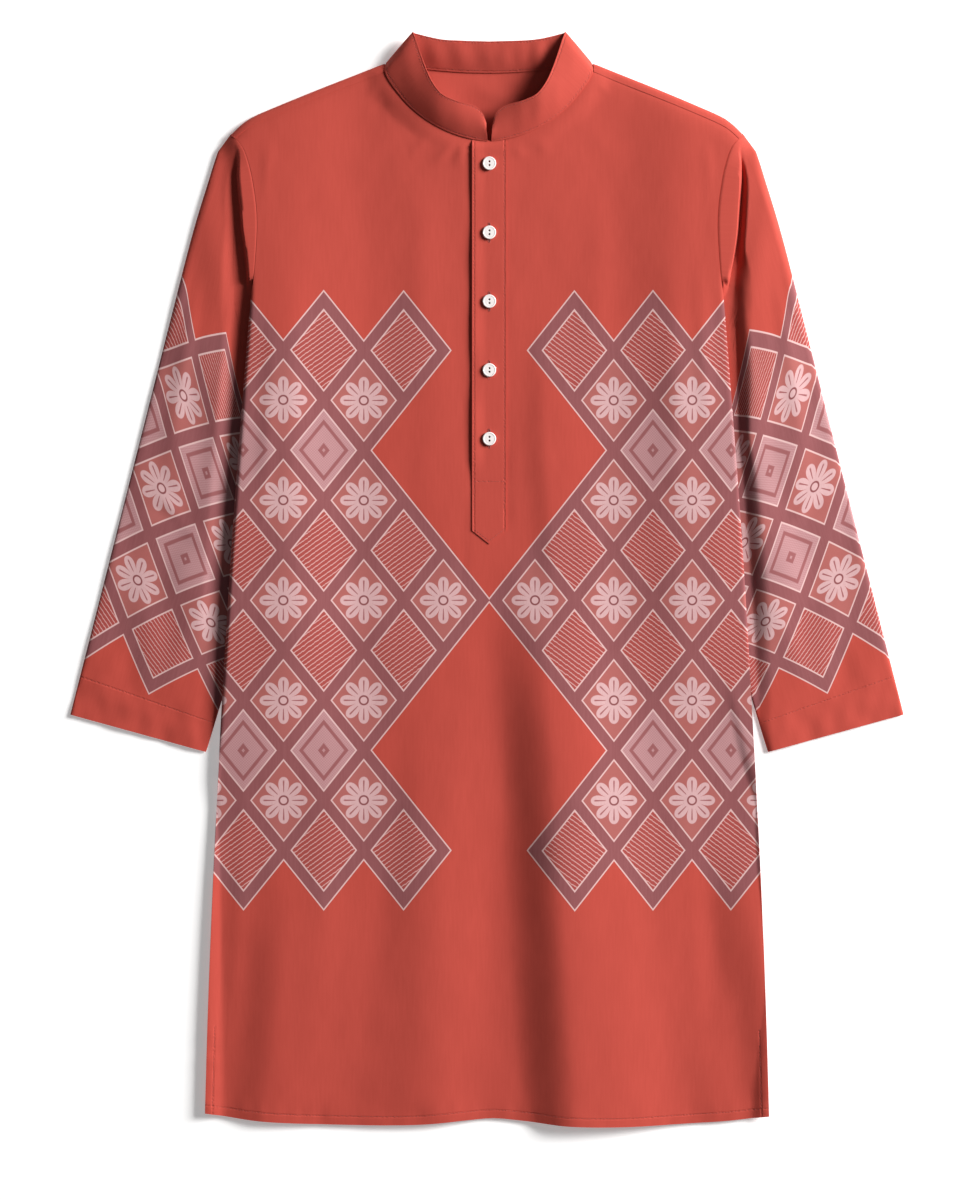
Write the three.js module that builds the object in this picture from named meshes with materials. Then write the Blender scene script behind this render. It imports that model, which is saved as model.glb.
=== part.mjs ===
// A long-sleeved kurta laid flat on its back, in millimetres.
// +X is the viewer's right, +Y runs from hem to collar, +Z is up from the surface it lies on.
// The origin is under the middle of its outline, on that surface.
// Every cloth piece is a grid of points on the middle of its wall, thickened along its normals.
import * as THREE from 'three';
import { mergeVertices } from 'three/addons/utils/BufferGeometryUtils.js';

// Walls and seams
const CLOTH = 1.2;
const COLLAR_WALL = 1.8;
const PLACKET_WALL = 1.6;
const SEAM_GAP = 0.5;
const ARMHOLE_GAP = 0.9;
const LAYER_AIR = 0.8;

// Body
const HALF_REFERENCE = 240;
const FORWARD_SEAM = 8;
const SHOULDER_MIDDLE = 4.2;
const SHOULDER_ROLL = 26;
const SHOULDER_CURL = 9;
const SIDE_ROLL = 9;
const SLEEVE_LIFT = 5;
const CENTRE_SHIFT = 2.2;

// Neck
const NECK = {
  centreY: 495, halfWidth: 99, depth: 75.5, power: 8 / 7, backY: 485.6, cornerX: 100.5, corner: 1.44,
};

// Placket and buttons
const PLACKET = { half: 16.5, slotHalf: 12, tipY: 34, shoulderY: 47, slotY: 50, freeEdgeRise: 1.6, air: 0.5 };
const BUTTON = {
  radius: 6.5, thick: 2.4, bevel: 0.5, holeRadius: 0.9, holeOffset: 1.5, firstY: 399, pitch: 66, count: 5,
};

// Half width of the body at each height: side edge up to the underarm, then the armhole seam
const BODY_EDGE = [
  { y: -525, half: 271 }, { y: -404, half: 267.5 }, { y: -248, half: 261 }, { y: -96, half: 252.5 },
  { y: 63, half: 242.5 }, { y: 205, half: 232 }, { y: 268, half: 227 }, { y: 300, half: 223.4 },
  { y: 346, half: 221.3 }, { y: 383, half: 225.5 }, { y: 408, half: 232 }, { y: 419, half: 238 },
  { y: 426.1, half: 246.2 },
];

// The shoulder's outline, from the neck to the sleeve head
const SHOULDER = [
  { x: 99, fold: 495.5 }, { x: 121, fold: 486.6 }, { x: 162, fold: 470.4 }, { x: 206.6, fold: 451.9 },
  { x: 227, fold: 442.6 }, { x: 236.5, fold: 435.6 }, { x: 246.2, fold: 426.1 },
];

// The front hem dips where its folds reach the edge
const FRONT_HEM = [
  { x: -271, y: -512.5 }, { x: -212, y: -520.2 }, { x: -140, y: -523.6 }, { x: -74, y: -523.6 },
  { x: -26, y: -519.6 }, { x: 5, y: -517.6 }, { x: 36, y: -520 }, { x: 78, y: -524 },
  { x: 130, y: -525 }, { x: 182, y: -522.8 }, { x: 224, y: -520.2 }, { x: 271, y: -515.5 },
];
const BACK_HEM = { corner: -511, dip: 3 };

// Height of the front over the surface: at the middle of the body, and beside its edges
const LEVELS = [
  { y: -525, middle: 3.1, side: 3.3 }, { y: -250, middle: 3.3, side: 4.2 }, { y: -150, middle: 3.5, side: 6.4 },
  { y: -60, middle: 3.7, side: 9 }, { y: 100, middle: 4, side: 9.6 }, { y: 268, middle: 4.4, side: 9.8 },
  { y: 426, middle: 5.5, side: 9.4 }, { y: 500, middle: 6, side: 9 },
];

// Soft vertical folds of the front: a ridge line, its rise, and how far it falls away to the left and right
const FOLDS = [
  { topX: 44, topY: 150, lowX: 94, lowY: -525, rise: 8, left: 44, right: 120, fade: 420 },
  { topX: -38, topY: 40, lowX: -60, lowY: -525, rise: 3.6, left: 95, right: 58, fade: 330 },
  { topX: -178, topY: -235, lowX: -212, lowY: -525, rise: 3.8, left: 44, right: 90, fade: 150 },
  { topX: 236, topY: -225, lowX: 290, lowY: -500, rise: 3.6, left: 46, right: 60, fade: 140 },
];

// The sleeve: its outer edge, its inner edge where the body covers it, and the strip of sleeve head by the seam
const SLEEVE_OUTER = [
  { y: -130, x: 400 }, { y: 172, x: 323 }, { y: 308, x: 288 }, { y: 346, x: 277.4 },
  { y: 383, x: 265.6 }, { y: 405, x: 258.4 }, { y: 417, x: 253.4 }, { y: 426.1, x: 246.2 },
];
const SLEEVE_INNER = [
  { y: -215, x: 288 }, { y: -165.6, x: 270.7 }, { y: -125, x: 258.2 }, { y: -29, x: 228.4 }, { y: 30, x: 210 },
  { y: 120, x: 197 }, { y: 190, x: 198 }, { y: 230, x: 201 }, { y: 257, x: 206 }, { y: 280, x: 218 },
  { y: 300, x: 240 }, { y: 332, x: 266 }, { y: 426, x: 320 },
];
const HEAD_STRIP = [
  { y: 262, width: 0 }, { y: 285, width: 0.6 }, { y: 307, width: 8 }, { y: 346, width: 13 },
  { y: 383, width: 9 }, { y: 404, width: 1 }, { y: 426, width: 0 },
];
const SLEEVE = {
  topY: 426.1, innerTopY: 257, cuffOuterY: -130, cuffInnerY: -165.6, width: 135, seamShare: 0.8, seamEndY: 288,
  crown: 5.7, valley: 3.3, edgeMiddle: 2.5, outerRoll: 14, innerRoll: 5, liftStart: 40, liftRun: 22,
};

// Where the sleeve head leaves the front's armhole and turns under the body
const UNDERARM_TURN = [
  { s: 0.8, x: 225.4, y: 288, z: 8.9 }, { s: 0.86, x: 230.6, y: 281, z: 7.4 }, { s: 0.9, x: 232, y: 274, z: 5.2 },
  { s: 0.94, x: 229.5, y: 267, z: 3.4 }, { s: 0.97, x: 220, y: 262, z: 3 }, { s: 1, x: 206, y: 257, z: 2.5 },
];

// Which way the sleeve's rings step away from the armhole
const HEAD_WAYS = [
  { s: 0, x: 0.6, y: -0.8 }, { s: 0.12, x: 0.9, y: -0.44 }, { s: 0.3, x: 1, y: -0.08 }, { s: 0.8, x: 1, y: -0.12 },
  { s: 0.88, x: 0.9, y: -0.44 }, { s: 0.94, x: 0.45, y: -0.89 }, { s: 1, x: -0.15, y: -0.99 },
];
const HEAD_STEP = 19;

// Half of the collar band, from its rounded front end (s = 0) round to the middle of the back (s = 1).
// Its seam follows the front's neckline up to COLLAR_CORNER and the back's from COLLAR_BACK.
const COLLAR_CORNER = 0.65;
const COLLAR_BACK = 0.72;
const COLLAR = [
  { s: 0, seamZ: 8.4, topX: 3.4, topY: 437, topZ: 12.6 },
  { s: 0.05, seamZ: 8.5, topX: 7, topY: 447, topZ: 14.6 },
  { s: 0.1, seamZ: 8.6, topX: 14.5, topY: 453.4, topZ: 16.6 },
  { s: 0.2, seamZ: 9.2, topX: 31, topY: 457.6, topZ: 20 },
  { s: 0.3, seamZ: 9.9, topX: 45, topY: 463.8, topZ: 22 },
  { s: 0.4, seamZ: 10.5, topX: 54, topY: 475, topZ: 22 },
  { s: 0.5, seamZ: 10.9, topX: 60.5, topY: 489, topZ: 20 },
  { s: 0.58, seamZ: 10.5, topX: 65.5, topY: 503, topZ: 17.5 },
  { s: 0.65, seamZ: 9, topX: 70.2, topY: 517.5, topZ: 15 },
  { s: 0.7, seamZ: 5.2, topX: 72.4, topY: 523.9, topZ: 12.6 },
  { s: 0.75, seamZ: 1.6, topX: 70, topY: 523.2, topZ: 11 },
  { s: 0.85, seamZ: 1.1, topX: 44, topY: 517.6, topZ: 10.4 },
  { s: 1, seamZ: 1.1, topX: 0, topY: 515.8, topZ: 10 },
];

const clamp = THREE.MathUtils.clamp;
const mix = THREE.MathUtils.lerp;
const ease = (f) => THREE.MathUtils.smoothstep(f, 0, 1);
// A quarter ellipse: 0 at the edge, 1 from one roll width inwards
const roll = (f) => Math.sqrt(1 - (1 - clamp(f, 0, 1)) ** 2);

// A smooth curve through a table's rows: each cubic piece takes its end slopes from the neighbouring rows.
function through(rows, key, value, at) {
  const last = rows.length - 1;
  const x = clamp(at, rows[0][key], rows[last][key]);
  let k = 0;
  while (k < last - 1 && x > rows[k + 1][key]) k += 1;
  const slope = (i) => {
    const [a, b] = [rows[Math.max(i - 1, 0)], rows[Math.min(i + 1, last)]];
    return (b[value] - a[value]) / (b[key] - a[key]);
  };
  const [a, b] = [rows[k], rows[k + 1]];
  const step = b[key] - a[key];
  const f = (x - a[key]) / step;
  const [f2, f3] = [f * f, f * f * f];
  return (2 * f3 - 3 * f2 + 1) * a[value] + (f3 - 2 * f2 + f) * step * slope(k)
    + (3 * f2 - 2 * f3) * b[value] + (f3 - f2) * step * slope(k + 1);
}

const bodyHalf = (y) => through(BODY_EDGE, 'y', 'half', y);
const shoulderFold = (x) => through(SHOULDER, 'x', 'fold', Math.abs(x));

// Distance below the shoulder's outline
const belowShoulder = (x, y) => shoulderFold(clamp(Math.abs(x), 99, 246.2)) - y;

// How far the back rises where it lies over a sleeve.
function sleeveLift(x, y) {
  const inner = through(SLEEVE_INNER, 'y', 'x', y);
  return SLEEVE_LIFT * ease((Math.abs(x) - inner + SLEEVE.liftStart) / SLEEVE.liftRun);
}

// Middle of the back's wall: flat on the surface, over the sleeves at its sides, curling up at the shoulder.
function backHeight(x, y) {
  const curl = (SHOULDER_MIDDLE - CLOTH / 2) * (1 - roll(belowShoulder(x, y) / SHOULDER_CURL));
  return CLOTH / 2 + sleeveLift(x, y) + curl;
}

// Sum of the front's folds: each is a cosine hump across its ridge line, growing towards the hem.
function foldHeight(x, y) {
  let sum = 0;
  for (const fold of FOLDS) {
    const along = (fold.topY - y) / (fold.topY - fold.lowY);
    const away = x - mix(fold.topX, fold.lowX, along);
    const width = away < 0 ? fold.left : fold.right;
    const grown = ease((fold.topY - y) / fold.fade);
    if (Math.abs(away) < width) sum += fold.rise * grown * (0.5 + 0.5 * Math.cos((Math.PI * away) / width));
  }
  return sum;
}

// Middle of the front's wall.
function frontHeight(x, y) {
  const half = Math.abs(x);
  const middle = through(LEVELS, 'y', 'middle', y);
  const side = through(LEVELS, 'y', 'side', y);
  const neckAway = Math.max(0, Math.hypot(x, y - NECK.centreY) - NECK.depth - 8);
  const body = mix(middle, side, ease((half - 110) / 90)) + foldHeight(x, y) + 2.6 * Math.exp(-neckAway / 30);
  const onBack = CLOTH / 2 + sleeveLift(x, y) + CLOTH + LAYER_AIR;
  const inwards = roll((bodyHalf(y) - half) / SIDE_ROLL);
  const sewnSide = ease((300 - y) / 40);
  const cloth = Math.max(mix(onBack, body, mix(1, inwards, sewnSide)), onBack);
  return mix(SHOULDER_MIDDLE, cloth, roll(belowShoulder(x, y) / SHOULDER_ROLL));
}

// Eases the middle of the garment a little to the viewer's right, as it lies, and leaves its sides.
function settle(x, y, z) {
  const share = Math.max(0, 1 - (x / bodyHalf(0)) ** 2);
  return new THREE.Vector3(x + CENTRE_SHIFT * share, y, z);
}

// Thickens a grid of points along its normals into one closed wall. keep(i, j) says which cells are cloth;
// a looped grid's last column joins its first. Rows run along +j, columns along +i.
function clothWall(grid, thickness, { keep = () => true, looped = false } = {}) {
  const rows = grid.length;
  const columns = grid[0].length;
  const cellColumns = looped ? columns : columns - 1;
  const isCloth = (i, j) => {
    const column = looped ? (i + cellColumns) % cellColumns : i;
    return j >= 0 && j < rows - 1 && column >= 0 && column < cellColumns && keep(column, j);
  };
  const index = (i, j) => j * columns + (i % columns);
  const normals = grid.flat().map(() => new THREE.Vector3());
  const cells = [];
  for (let j = 0; j < rows - 1; j += 1) {
    for (let i = 0; i < cellColumns; i += 1) {
      if (isCloth(i, j)) {
        const corners = [index(i, j), index(i + 1, j), index(i + 1, j + 1), index(i, j + 1)];
        const [a, b, c, d] = corners.map((k) => grid.flat()[k]);
        const normal = c.clone().sub(a).cross(d.clone().sub(b));
        if (normal.length() > 1e-6) corners.forEach((k) => normals[k].add(normal.clone().normalize()));
        cells.push({ i, j, corners });
      }
    }
  }
  const points = grid.flat();
  const positions = [];
  for (const side of [0.5, -0.5]) {
    points.forEach((point, k) => {
      const moved = point.clone().addScaledVector(normals[k].clone().normalize(), side * thickness);
      positions.push(moved.x, moved.y, moved.z);
    });
  }
  const under = points.length;
  const faces = [];
  const quad = (a, b, c, d) => faces.push(a, b, c, a, c, d);
  for (const { i, j, corners: [a, b, c, d] } of cells) {
    quad(a, b, c, d);
    faces.push(under + a, under + c, under + b, under + a, under + d, under + c);
    if (!isCloth(i, j - 1)) quad(a, under + a, under + b, b);
    if (!isCloth(i + 1, j)) quad(b, under + b, under + c, c);
    if (!isCloth(i, j + 1)) quad(c, under + c, under + d, d);
    if (!isCloth(i - 1, j)) quad(d, under + d, under + a, a);
  }
  const geometry = new THREE.BufferGeometry();
  geometry.setAttribute('position', new THREE.Float32BufferAttribute(positions, 3));
  geometry.setIndex(faces);
  const merged = mergeVertices(geometry, 1e-4);
  merged.computeVertexNormals();
  return merged;
}

// Columns across a body panel, as shares of its half width: close together at the slot and in the side roll.
function bodyColumns(steps) {
  const edgeInsets = [9, 5, 2, 0];
  const from = PLACKET.slotHalf;
  const to = HALF_REFERENCE - 12;
  const half = [];
  for (let k = 0; k <= steps; k += 1) half.push(mix(from, to, k / steps) / HALF_REFERENCE);
  edgeInsets.forEach((inset) => half.push((HALF_REFERENCE - inset) / HALF_REFERENCE));
  return [...half.map((u) => -u).reverse(), 0, ...half];
}

const BODY_STEPS = 11;
const COLUMNS = bodyColumns(BODY_STEPS);
const SLOT_SHARE = PLACKET.slotHalf / HALF_REFERENCE;
const NECK_SHARE = COLUMNS.find((u) => u * HALF_REFERENCE > NECK.cornerX);

// The front's neckline by the angle from the centre front: a squared-off ellipse, flaring at the neck's corner.
function neckline(angle, inset = 0) {
  const flare = 2.9 * ease((angle - Math.PI / 3) / 0.38);
  return {
    x: (NECK.halfWidth - inset) * Math.sin(angle) ** NECK.power + flare,
    y: NECK.centreY - (NECK.depth - inset) * Math.cos(angle) ** NECK.power,
  };
}

// Top edge of the front at a column: neckline inside the neck's corner, forward shoulder seam outside it.
function frontTop(u) {
  const share = Math.abs(u);
  const slotAngle = Math.asin((PLACKET.slotHalf / NECK.halfWidth) ** (1 / NECK.power));
  const cornerDrop = NECK.centreY - shoulderFold(NECK.cornerX) + FORWARD_SEAM;
  const cornerAngle = Math.acos((cornerDrop / NECK.depth) ** (1 / NECK.power));
  let edge;
  if (share <= SLOT_SHARE) {
    const x = share * HALF_REFERENCE;
    edge = { x, y: neckline(slotAngle * (share / SLOT_SHARE)).y };
  } else if (share < NECK_SHARE) {
    edge = neckline(mix(slotAngle, cornerAngle, (share - SLOT_SHARE) / (NECK_SHARE - SLOT_SHARE)));
  } else {
    const x = mix(NECK.cornerX, 241.5, (share - NECK_SHARE) / (1 - NECK_SHARE));
    edge = { x, y: shoulderFold(x) - FORWARD_SEAM };
  }
  return { x: Math.sign(u) * edge.x, y: edge.y };
}

// Top edge of the back at a column: its shallow neckline, then the shoulder's outline.
function backTop(u) {
  const share = Math.abs(u);
  if (share < NECK_SHARE) {
    const f = share / NECK_SHARE;
    const y = mix(NECK.backY, shoulderFold(NECK.cornerX), f * f);
    return { x: Math.sign(u) * NECK.cornerX * f, y };
  }
  const x = mix(NECK.cornerX, 246.2, (share - NECK_SHARE) / (1 - NECK_SHARE));
  return { x: Math.sign(u) * x, y: shoulderFold(x) };
}

// Plan position on a body panel: columns follow the side edges, and bend to meet the top edge.
function bodyPlan(u, v, hemY, top) {
  const y = mix(hemY, top.y, v);
  const spread = Math.sign(u) * ease((Math.abs(u) - SLOT_SHARE) / (0.9 - SLOT_SHARE));
  const across = (height) => HALF_REFERENCE * u + (bodyHalf(height) - HALF_REFERENCE) * spread;
  const toTop = top.x - across(top.y);
  return { x: across(y) + toTop * ease((v - 0.5) / 0.5), y };
}

// Rows of both panels, as shares of the way from hem to top edge: one at the slot's foot, closer at the armhole.
const SLOT_FOOT = (PLACKET.slotY + 518) / (neckline(0).y + 518);
const ROW_BANDS = [
  { to: SLOT_FOOT, steps: 11 }, { to: 0.83, steps: 5 }, { to: 0.95, steps: 4 }, { to: 0.98, steps: 2 },
  { to: 1, steps: 2 },
];
const ROWS = ROW_BANDS.reduce((rows, { to, steps }) => {
  const from = rows[rows.length - 1];
  for (let k = 1; k <= steps; k += 1) rows.push(mix(from, to, k / steps));
  return rows;
}, [0]);

function frontPanel() {
  const grid = ROWS.map((v) => COLUMNS.map((u) => {
    const hem = through(FRONT_HEM, 'x', 'y', u * 271);
    const at = bodyPlan(u, v, hem, frontTop(u));
    return settle(at.x, at.y, frontHeight(at.x, at.y));
  }));
  const slotRow = ROWS.findIndex((v) => Math.abs(v - SLOT_FOOT) < 1e-9);
  const inSlot = (i) => Math.abs(COLUMNS[i] + COLUMNS[i + 1]) / 2 < SLOT_SHARE;
  return clothWall(grid, CLOTH, { keep: (i, j) => !(j >= slotRow && inSlot(i)) });
}

// The back goes up to the shoulder's outline and then over it, forward to the seam on the front.
function backPanel() {
  const overShoulder = [0.25, 0.92];
  const grid = ROWS.map((v) => COLUMNS.map((u) => {
    const at = bodyPlan(u, v, BACK_HEM.corner - BACK_HEM.dip * (1 - u * u), backTop(u));
    return settle(at.x, at.y, Math.abs(u) < NECK_SHARE ? neckEdgeHeight(u, v, at) : backHeight(at.x, at.y));
  }));
  for (const f of overShoulder) {
    grid.push(COLUMNS.map((u) => {
      const [outline, seam] = [backTop(u), frontTop(u)];
      const at = { x: mix(outline.x, seam.x, f), y: mix(outline.y, seam.y, f) };
      return settle(at.x, at.y, frontHeight(at.x, at.y));
    }));
  }
  const last = ROWS.length - 1;
  const inNeck = (i) => Math.abs(COLUMNS[i] + COLUMNS[i + 1]) / 2 < NECK_SHARE;
  return clothWall(grid, CLOTH, { keep: (i, j) => !(j >= last && inNeck(i)) });
}

// Inside the neck the back stays flat; only near the neck's corners does it start to curl.
function neckEdgeHeight(u, v, at) {
  const curled = ease((Math.abs(u) / NECK_SHARE - 0.8) / 0.2);
  return mix(CLOTH / 2, backHeight(at.x, at.y), curled);
}

// Start of the sleeve's top layer: along the front armhole seam, then round and under the body.
function frontArmhole(s) {
  if (s >= SLEEVE.seamShare) {
    const [x, y, z] = ['x', 'y', 'z'].map((key) => through(UNDERARM_TURN, 's', key, s));
    return { x, y, z };
  }
  const y = mix(SLEEVE.topY, SLEEVE.seamEndY, s / SLEEVE.seamShare);
  const x = bodyHalf(y);
  return { x: x + ARMHOLE_GAP, y, z: frontHeight(x - 0.1, y) };
}

// Start of the sleeve's lower layer: along the back armhole seam, then under the body.
function backArmhole(s) {
  const endY = 300;
  const f = Math.max(0, (s - SLEEVE.seamShare) / (1 - SLEEVE.seamShare));
  const y = mix(SLEEVE.topY, endY, Math.min(1, s / SLEEVE.seamShare));
  const z = mix(backHeight(bodyHalf(y) - 0.1, y), CLOTH / 2, ease((s - 0.62) / 0.13));
  return { x: mix(bodyHalf(y) + ARMHOLE_GAP, 206, f), y: mix(y, SLEEVE.innerTopY, f), z };
}

// Height of the sleeve's top layer: seam level on the head strip, a valley beside the body, then the crown.
function sleeveTopHeight(x, y, seamZ) {
  const away = x - bodyHalf(y);
  const strip = through(HEAD_STRIP, 'y', 'width', y);
  const level = mix(SLEEVE.valley, seamZ, ease((y - 256) / 14));
  const rise = mix(SLEEVE.valley, SLEEVE.crown, ease((away - strip - 4) / 34));
  const valley = mix(level, rise, ease((away - strip) / 4));
  const smooth = mix(seamZ, SLEEVE.crown + 1, ease(away / 26));
  return mix(smooth, valley, ease((402 - y) / 36));
}

// Plan position across the flat sleeve: s runs from its outer edge (0) to its inner edge (1), reach to the cuff.
function sleevePlan(s, reach) {
  const outerY = mix(SLEEVE.topY - HEAD_STEP * 0.8, SLEEVE.cuffOuterY, reach);
  const innerY = mix(SLEEVE.innerTopY - HEAD_STEP, SLEEVE.cuffInnerY, reach);
  const x = mix(through(SLEEVE_OUTER, 'y', 'x', outerY), through(SLEEVE_INNER, 'y', 'x', innerY), s);
  return { x, y: mix(outerY, innerY, s) };
}

// One point on the middle of the sleeve's wall. head counts the first rings (0 to 3), which cross the strip of
// sleeve head, its drop and the rest of HEAD_STEP; reach is the share of the rest of the way to the cuff.
function sleevePoint(s, layer, head, reach) {
  const start = layer === 'top' ? frontArmhole(s) : backArmhole(s);
  const way = { x: through(HEAD_WAYS, 's', 'x', s), y: through(HEAD_WAYS, 's', 'y', s) };
  const strip = through(HEAD_STRIP, 'y', 'width', start.y) + 0.8;
  const away = [0, strip, strip + 3.6, HEAD_STEP][head];
  const ring = { x: start.x + way.x * away, y: start.y + way.y * away };
  const [from, base] = [sleevePlan(s, 0), sleevePlan(s, reach)];
  const fading = (1 - reach) ** 3;
  const x = base.x + (ring.x - from.x) * fading;
  const y = base.y + (ring.y - from.y) * fading;

  const lowered = Math.max(ease(head / 6 + reach * 4), ease(2 * s));
  const edgeMiddle = mix(SHOULDER_MIDDLE, SLEEVE.edgeMiddle, lowered);
  const fromInner = roll(((1 - s) * SLEEVE.width) / SLEEVE.innerRoll);
  if (layer !== 'top') {
    const rounded = Math.min(roll((s * SLEEVE.width) / SLEEVE.innerRoll), fromInner);
    return { x, y, z: mix(start.z, mix(edgeMiddle, CLOTH / 2, rounded), ease(away / 12)) };
  }
  const rounded = Math.min(roll((s * SLEEVE.width) / SLEEVE.outerRoll), fromInner);
  if (head === 0) return { x, y, z: mix(edgeMiddle, start.z, s < SLEEVE.seamShare ? rounded : fromInner) };
  const field = sleeveTopHeight(x, y, start.z);
  const turned = reach > 0 ? 0 : ease((s - SLEEVE.seamShare) / 0.06);
  const turning = mix(start.z, Math.min(field, SLEEVE.valley), ease(away / 6));
  return { x, y, z: mix(edgeMiddle, mix(field, turning, turned), rounded) };
}

// A sleeve is one looped wall: out along the top layer, back along the lower one, ring by ring to the cuff.
function sleeve(side) {
  const across = 13;
  const shares = [];
  for (let k = 0; k <= across; k += 1) {
    shares.push(mix(k / across, 0.5 - 0.5 * Math.cos((Math.PI * k) / across), 0.72));
  }
  const rings = [0, 1, 2, 3].map((head) => ({ head, reach: 0 }));
  const down = 14;
  for (let k = 1; k <= down; k += 1) rings.push({ head: 3, reach: k / down });
  const grid = rings.map(({ head, reach }) => {
    const top = shares.map((s) => sleevePoint(s, 'top', head, reach));
    const low = shares.slice(1, -1).reverse().map((s) => sleevePoint(s, 'low', head, reach));
    return [...top, ...low].map((p) => settle(side * p.x, p.y, p.z));
  });
  const ordered = side > 0 ? grid.map((ring) => [...ring].reverse()) : grid;
  return clothWall(ordered.reverse(), CLOTH, { looped: true });
}

// Plan of the collar's seam edge, just inside the neckline of the front, round its corner, then the back's.
function collarSeam(s) {
  const inset = COLLAR_WALL / 2 + 0.4;
  if (s <= COLLAR_CORNER) return neckline(mix(0.03, NECK.corner, s / COLLAR_CORNER), inset);
  const f = (1 - s) / (1 - COLLAR_BACK);
  const back = { x: (NECK.cornerX - 2.6) * f, y: mix(NECK.backY, shoulderFold(NECK.cornerX), f * f) + 1.6 };
  if (s >= COLLAR_BACK) return back;
  const corner = neckline(NECK.corner, inset);
  const turn = (s - COLLAR_CORNER) / (COLLAR_BACK - COLLAR_CORNER);
  const outline = { x: NECK.cornerX - 2.6, y: shoulderFold(NECK.cornerX) + 1.6 };
  return { x: mix(corner.x, outline.x, turn), y: mix(corner.y, outline.y, turn) };
}

// The stand collar: a band from its seam to its top edge, right round the neck, open at the front.
function collarBand() {
  const steps = 22;
  const rises = [0, 0.3, 0.65, 1];
  const half = [];
  for (let k = 0; k <= steps; k += 1) half.push(k / steps);
  const row = (rise) => {
    const points = half.map((s) => {
      const at = (key) => through(COLLAR, 's', key, s);
      const seam = collarSeam(s);
      const z = mix(at('seamZ'), at('topZ'), rise) + 1.6 * Math.sin(Math.PI * rise);
      return [mix(seam.x, at('topX'), rise), mix(seam.y, at('topY'), rise), z];
    });
    const left = points.map(([x, y, z]) => settle(-x, y, z));
    const right = points.slice(0, -1).reverse().map(([x, y, z]) => settle(x, y, z));
    return [...left, ...right];
  };
  return clothWall(rises.map(row).reverse(), COLLAR_WALL);
}

// Middle of the placket's wall: it lies on the front, its left edge standing free of the slot.
function placketHeight(x, y) {
  const free = PLACKET.freeEdgeRise * ease((-x / PLACKET.half - 0.2) / 0.8) * ease((y - 95) / 60);
  return frontHeight(x, y) + CLOTH / 2 + PLACKET.air + PLACKET_WALL / 2 + free;
}

// The buttoned strip on top: straight sides, a pointed foot, its left edge standing free of the slot.
function placketOver() {
  const across = [-1, -0.5, 0, 0.5, 1];
  const steps = 16;
  const grid = [];
  for (let k = 0; k <= steps; k += 1) {
    grid.push(across.map((share) => {
      const x = share * PLACKET.half;
      const foot = mix(PLACKET.tipY, PLACKET.shoulderY, Math.abs(share));
      const top = neckline(Math.abs(share) * 0.2).y - 2.6;
      const y = mix(foot, top, k / steps);
      return settle(x, y, placketHeight(x, y));
    }));
  }
  return clothWall(grid, PLACKET_WALL);
}

// The strip under it, which closes the slot in the front.
function placketUnder() {
  const across = [-1, -0.33, 0.33, 1];
  const steps = 14;
  const grid = [];
  for (let k = 0; k <= steps; k += 1) {
    grid.push(across.map((share) => {
      const x = share * (PLACKET.slotHalf - SEAM_GAP);
      const y = mix(PLACKET.slotY + 3 * SEAM_GAP, neckline(0).y - 2.6, k / steps);
      return settle(x, y, frontHeight(x, y));
    }));
  }
  return clothWall(grid, CLOTH);
}

// A sew-through button: a bevelled disc with two holes, one above the other.
function button() {
  const ring = (radius, y, count) => Array.from({ length: count }, (_, k) => {
    const angle = (2 * Math.PI * (k + 0.5)) / count;
    return new THREE.Vector2(radius * Math.cos(angle), y + radius * Math.sin(angle));
  });
  const outline = new THREE.Shape(ring(BUTTON.radius - BUTTON.bevel, 0, 20));
  for (const side of [1, -1]) {
    const hole = ring(BUTTON.holeRadius + BUTTON.bevel, side * BUTTON.holeOffset, 6);
    outline.holes.push(new THREE.Path(hole.reverse()));
  }
  const geometry = new THREE.ExtrudeGeometry(outline, {
    depth: BUTTON.thick - 2 * BUTTON.bevel, bevelSize: BUTTON.bevel, bevelThickness: BUTTON.bevel, bevelSegments: 1,
  });
  geometry.translate(0, 0, BUTTON.bevel);
  return geometry;
}

// A button lies level on the highest part of the placket under it.
function buttonSeat(y) {
  const heights = [-0.9, 0, 0.9].flatMap((a) => [-0.9, 0, 0.9].map((b) => (
    placketHeight(a * BUTTON.radius, y + b * BUTTON.radius)
  )));
  return Math.max(...heights) + PLACKET_WALL / 2 + SEAM_GAP;
}

const COLOURS = { kurta: 0xc65145, collar: 0xc04c41, button: 0xf1ecea };
const kurta = new THREE.Group();

function addPiece(name, geometry, colour, roughness) {
  const material = new THREE.MeshStandardMaterial({ color: colour, roughness, metalness: 0 });
  const mesh = new THREE.Mesh(geometry, material);
  mesh.name = name;
  kurta.add(mesh);
  return mesh;
}

addPiece('back_panel', backPanel(), COLOURS.kurta, 0.85);
addPiece('front_panel', frontPanel(), COLOURS.kurta, 0.85);
addPiece('sleeve_left', sleeve(-1), COLOURS.kurta, 0.85);
addPiece('sleeve_right', sleeve(1), COLOURS.kurta, 0.85);
addPiece('collar_band', collarBand(), COLOURS.collar, 0.8);
addPiece('placket_under', placketUnder(), COLOURS.kurta, 0.85);
addPiece('placket_over', placketOver(), COLOURS.kurta, 0.85);

for (let k = 0; k < BUTTON.count; k += 1) {
  const y = BUTTON.firstY - k * BUTTON.pitch;
  const mesh = addPiece(`button_${k + 1}`, button(), COLOURS.button, 0.3);
  mesh.position.copy(settle(0, y, buttonSeat(y)));
}

export default kurta;
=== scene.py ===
"""A coral-red cotton kurta laid flat, seen from straight above.

Lengths in the tables and surface functions are millimetres; mesh coordinates are metres.
Each cloth piece is a surface of two parameters on a numpy grid, the same form as its CAD solid with
finer creases, made into a thin closed shell. Sewing is small stitches laid along those surfaces.
"""

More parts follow.
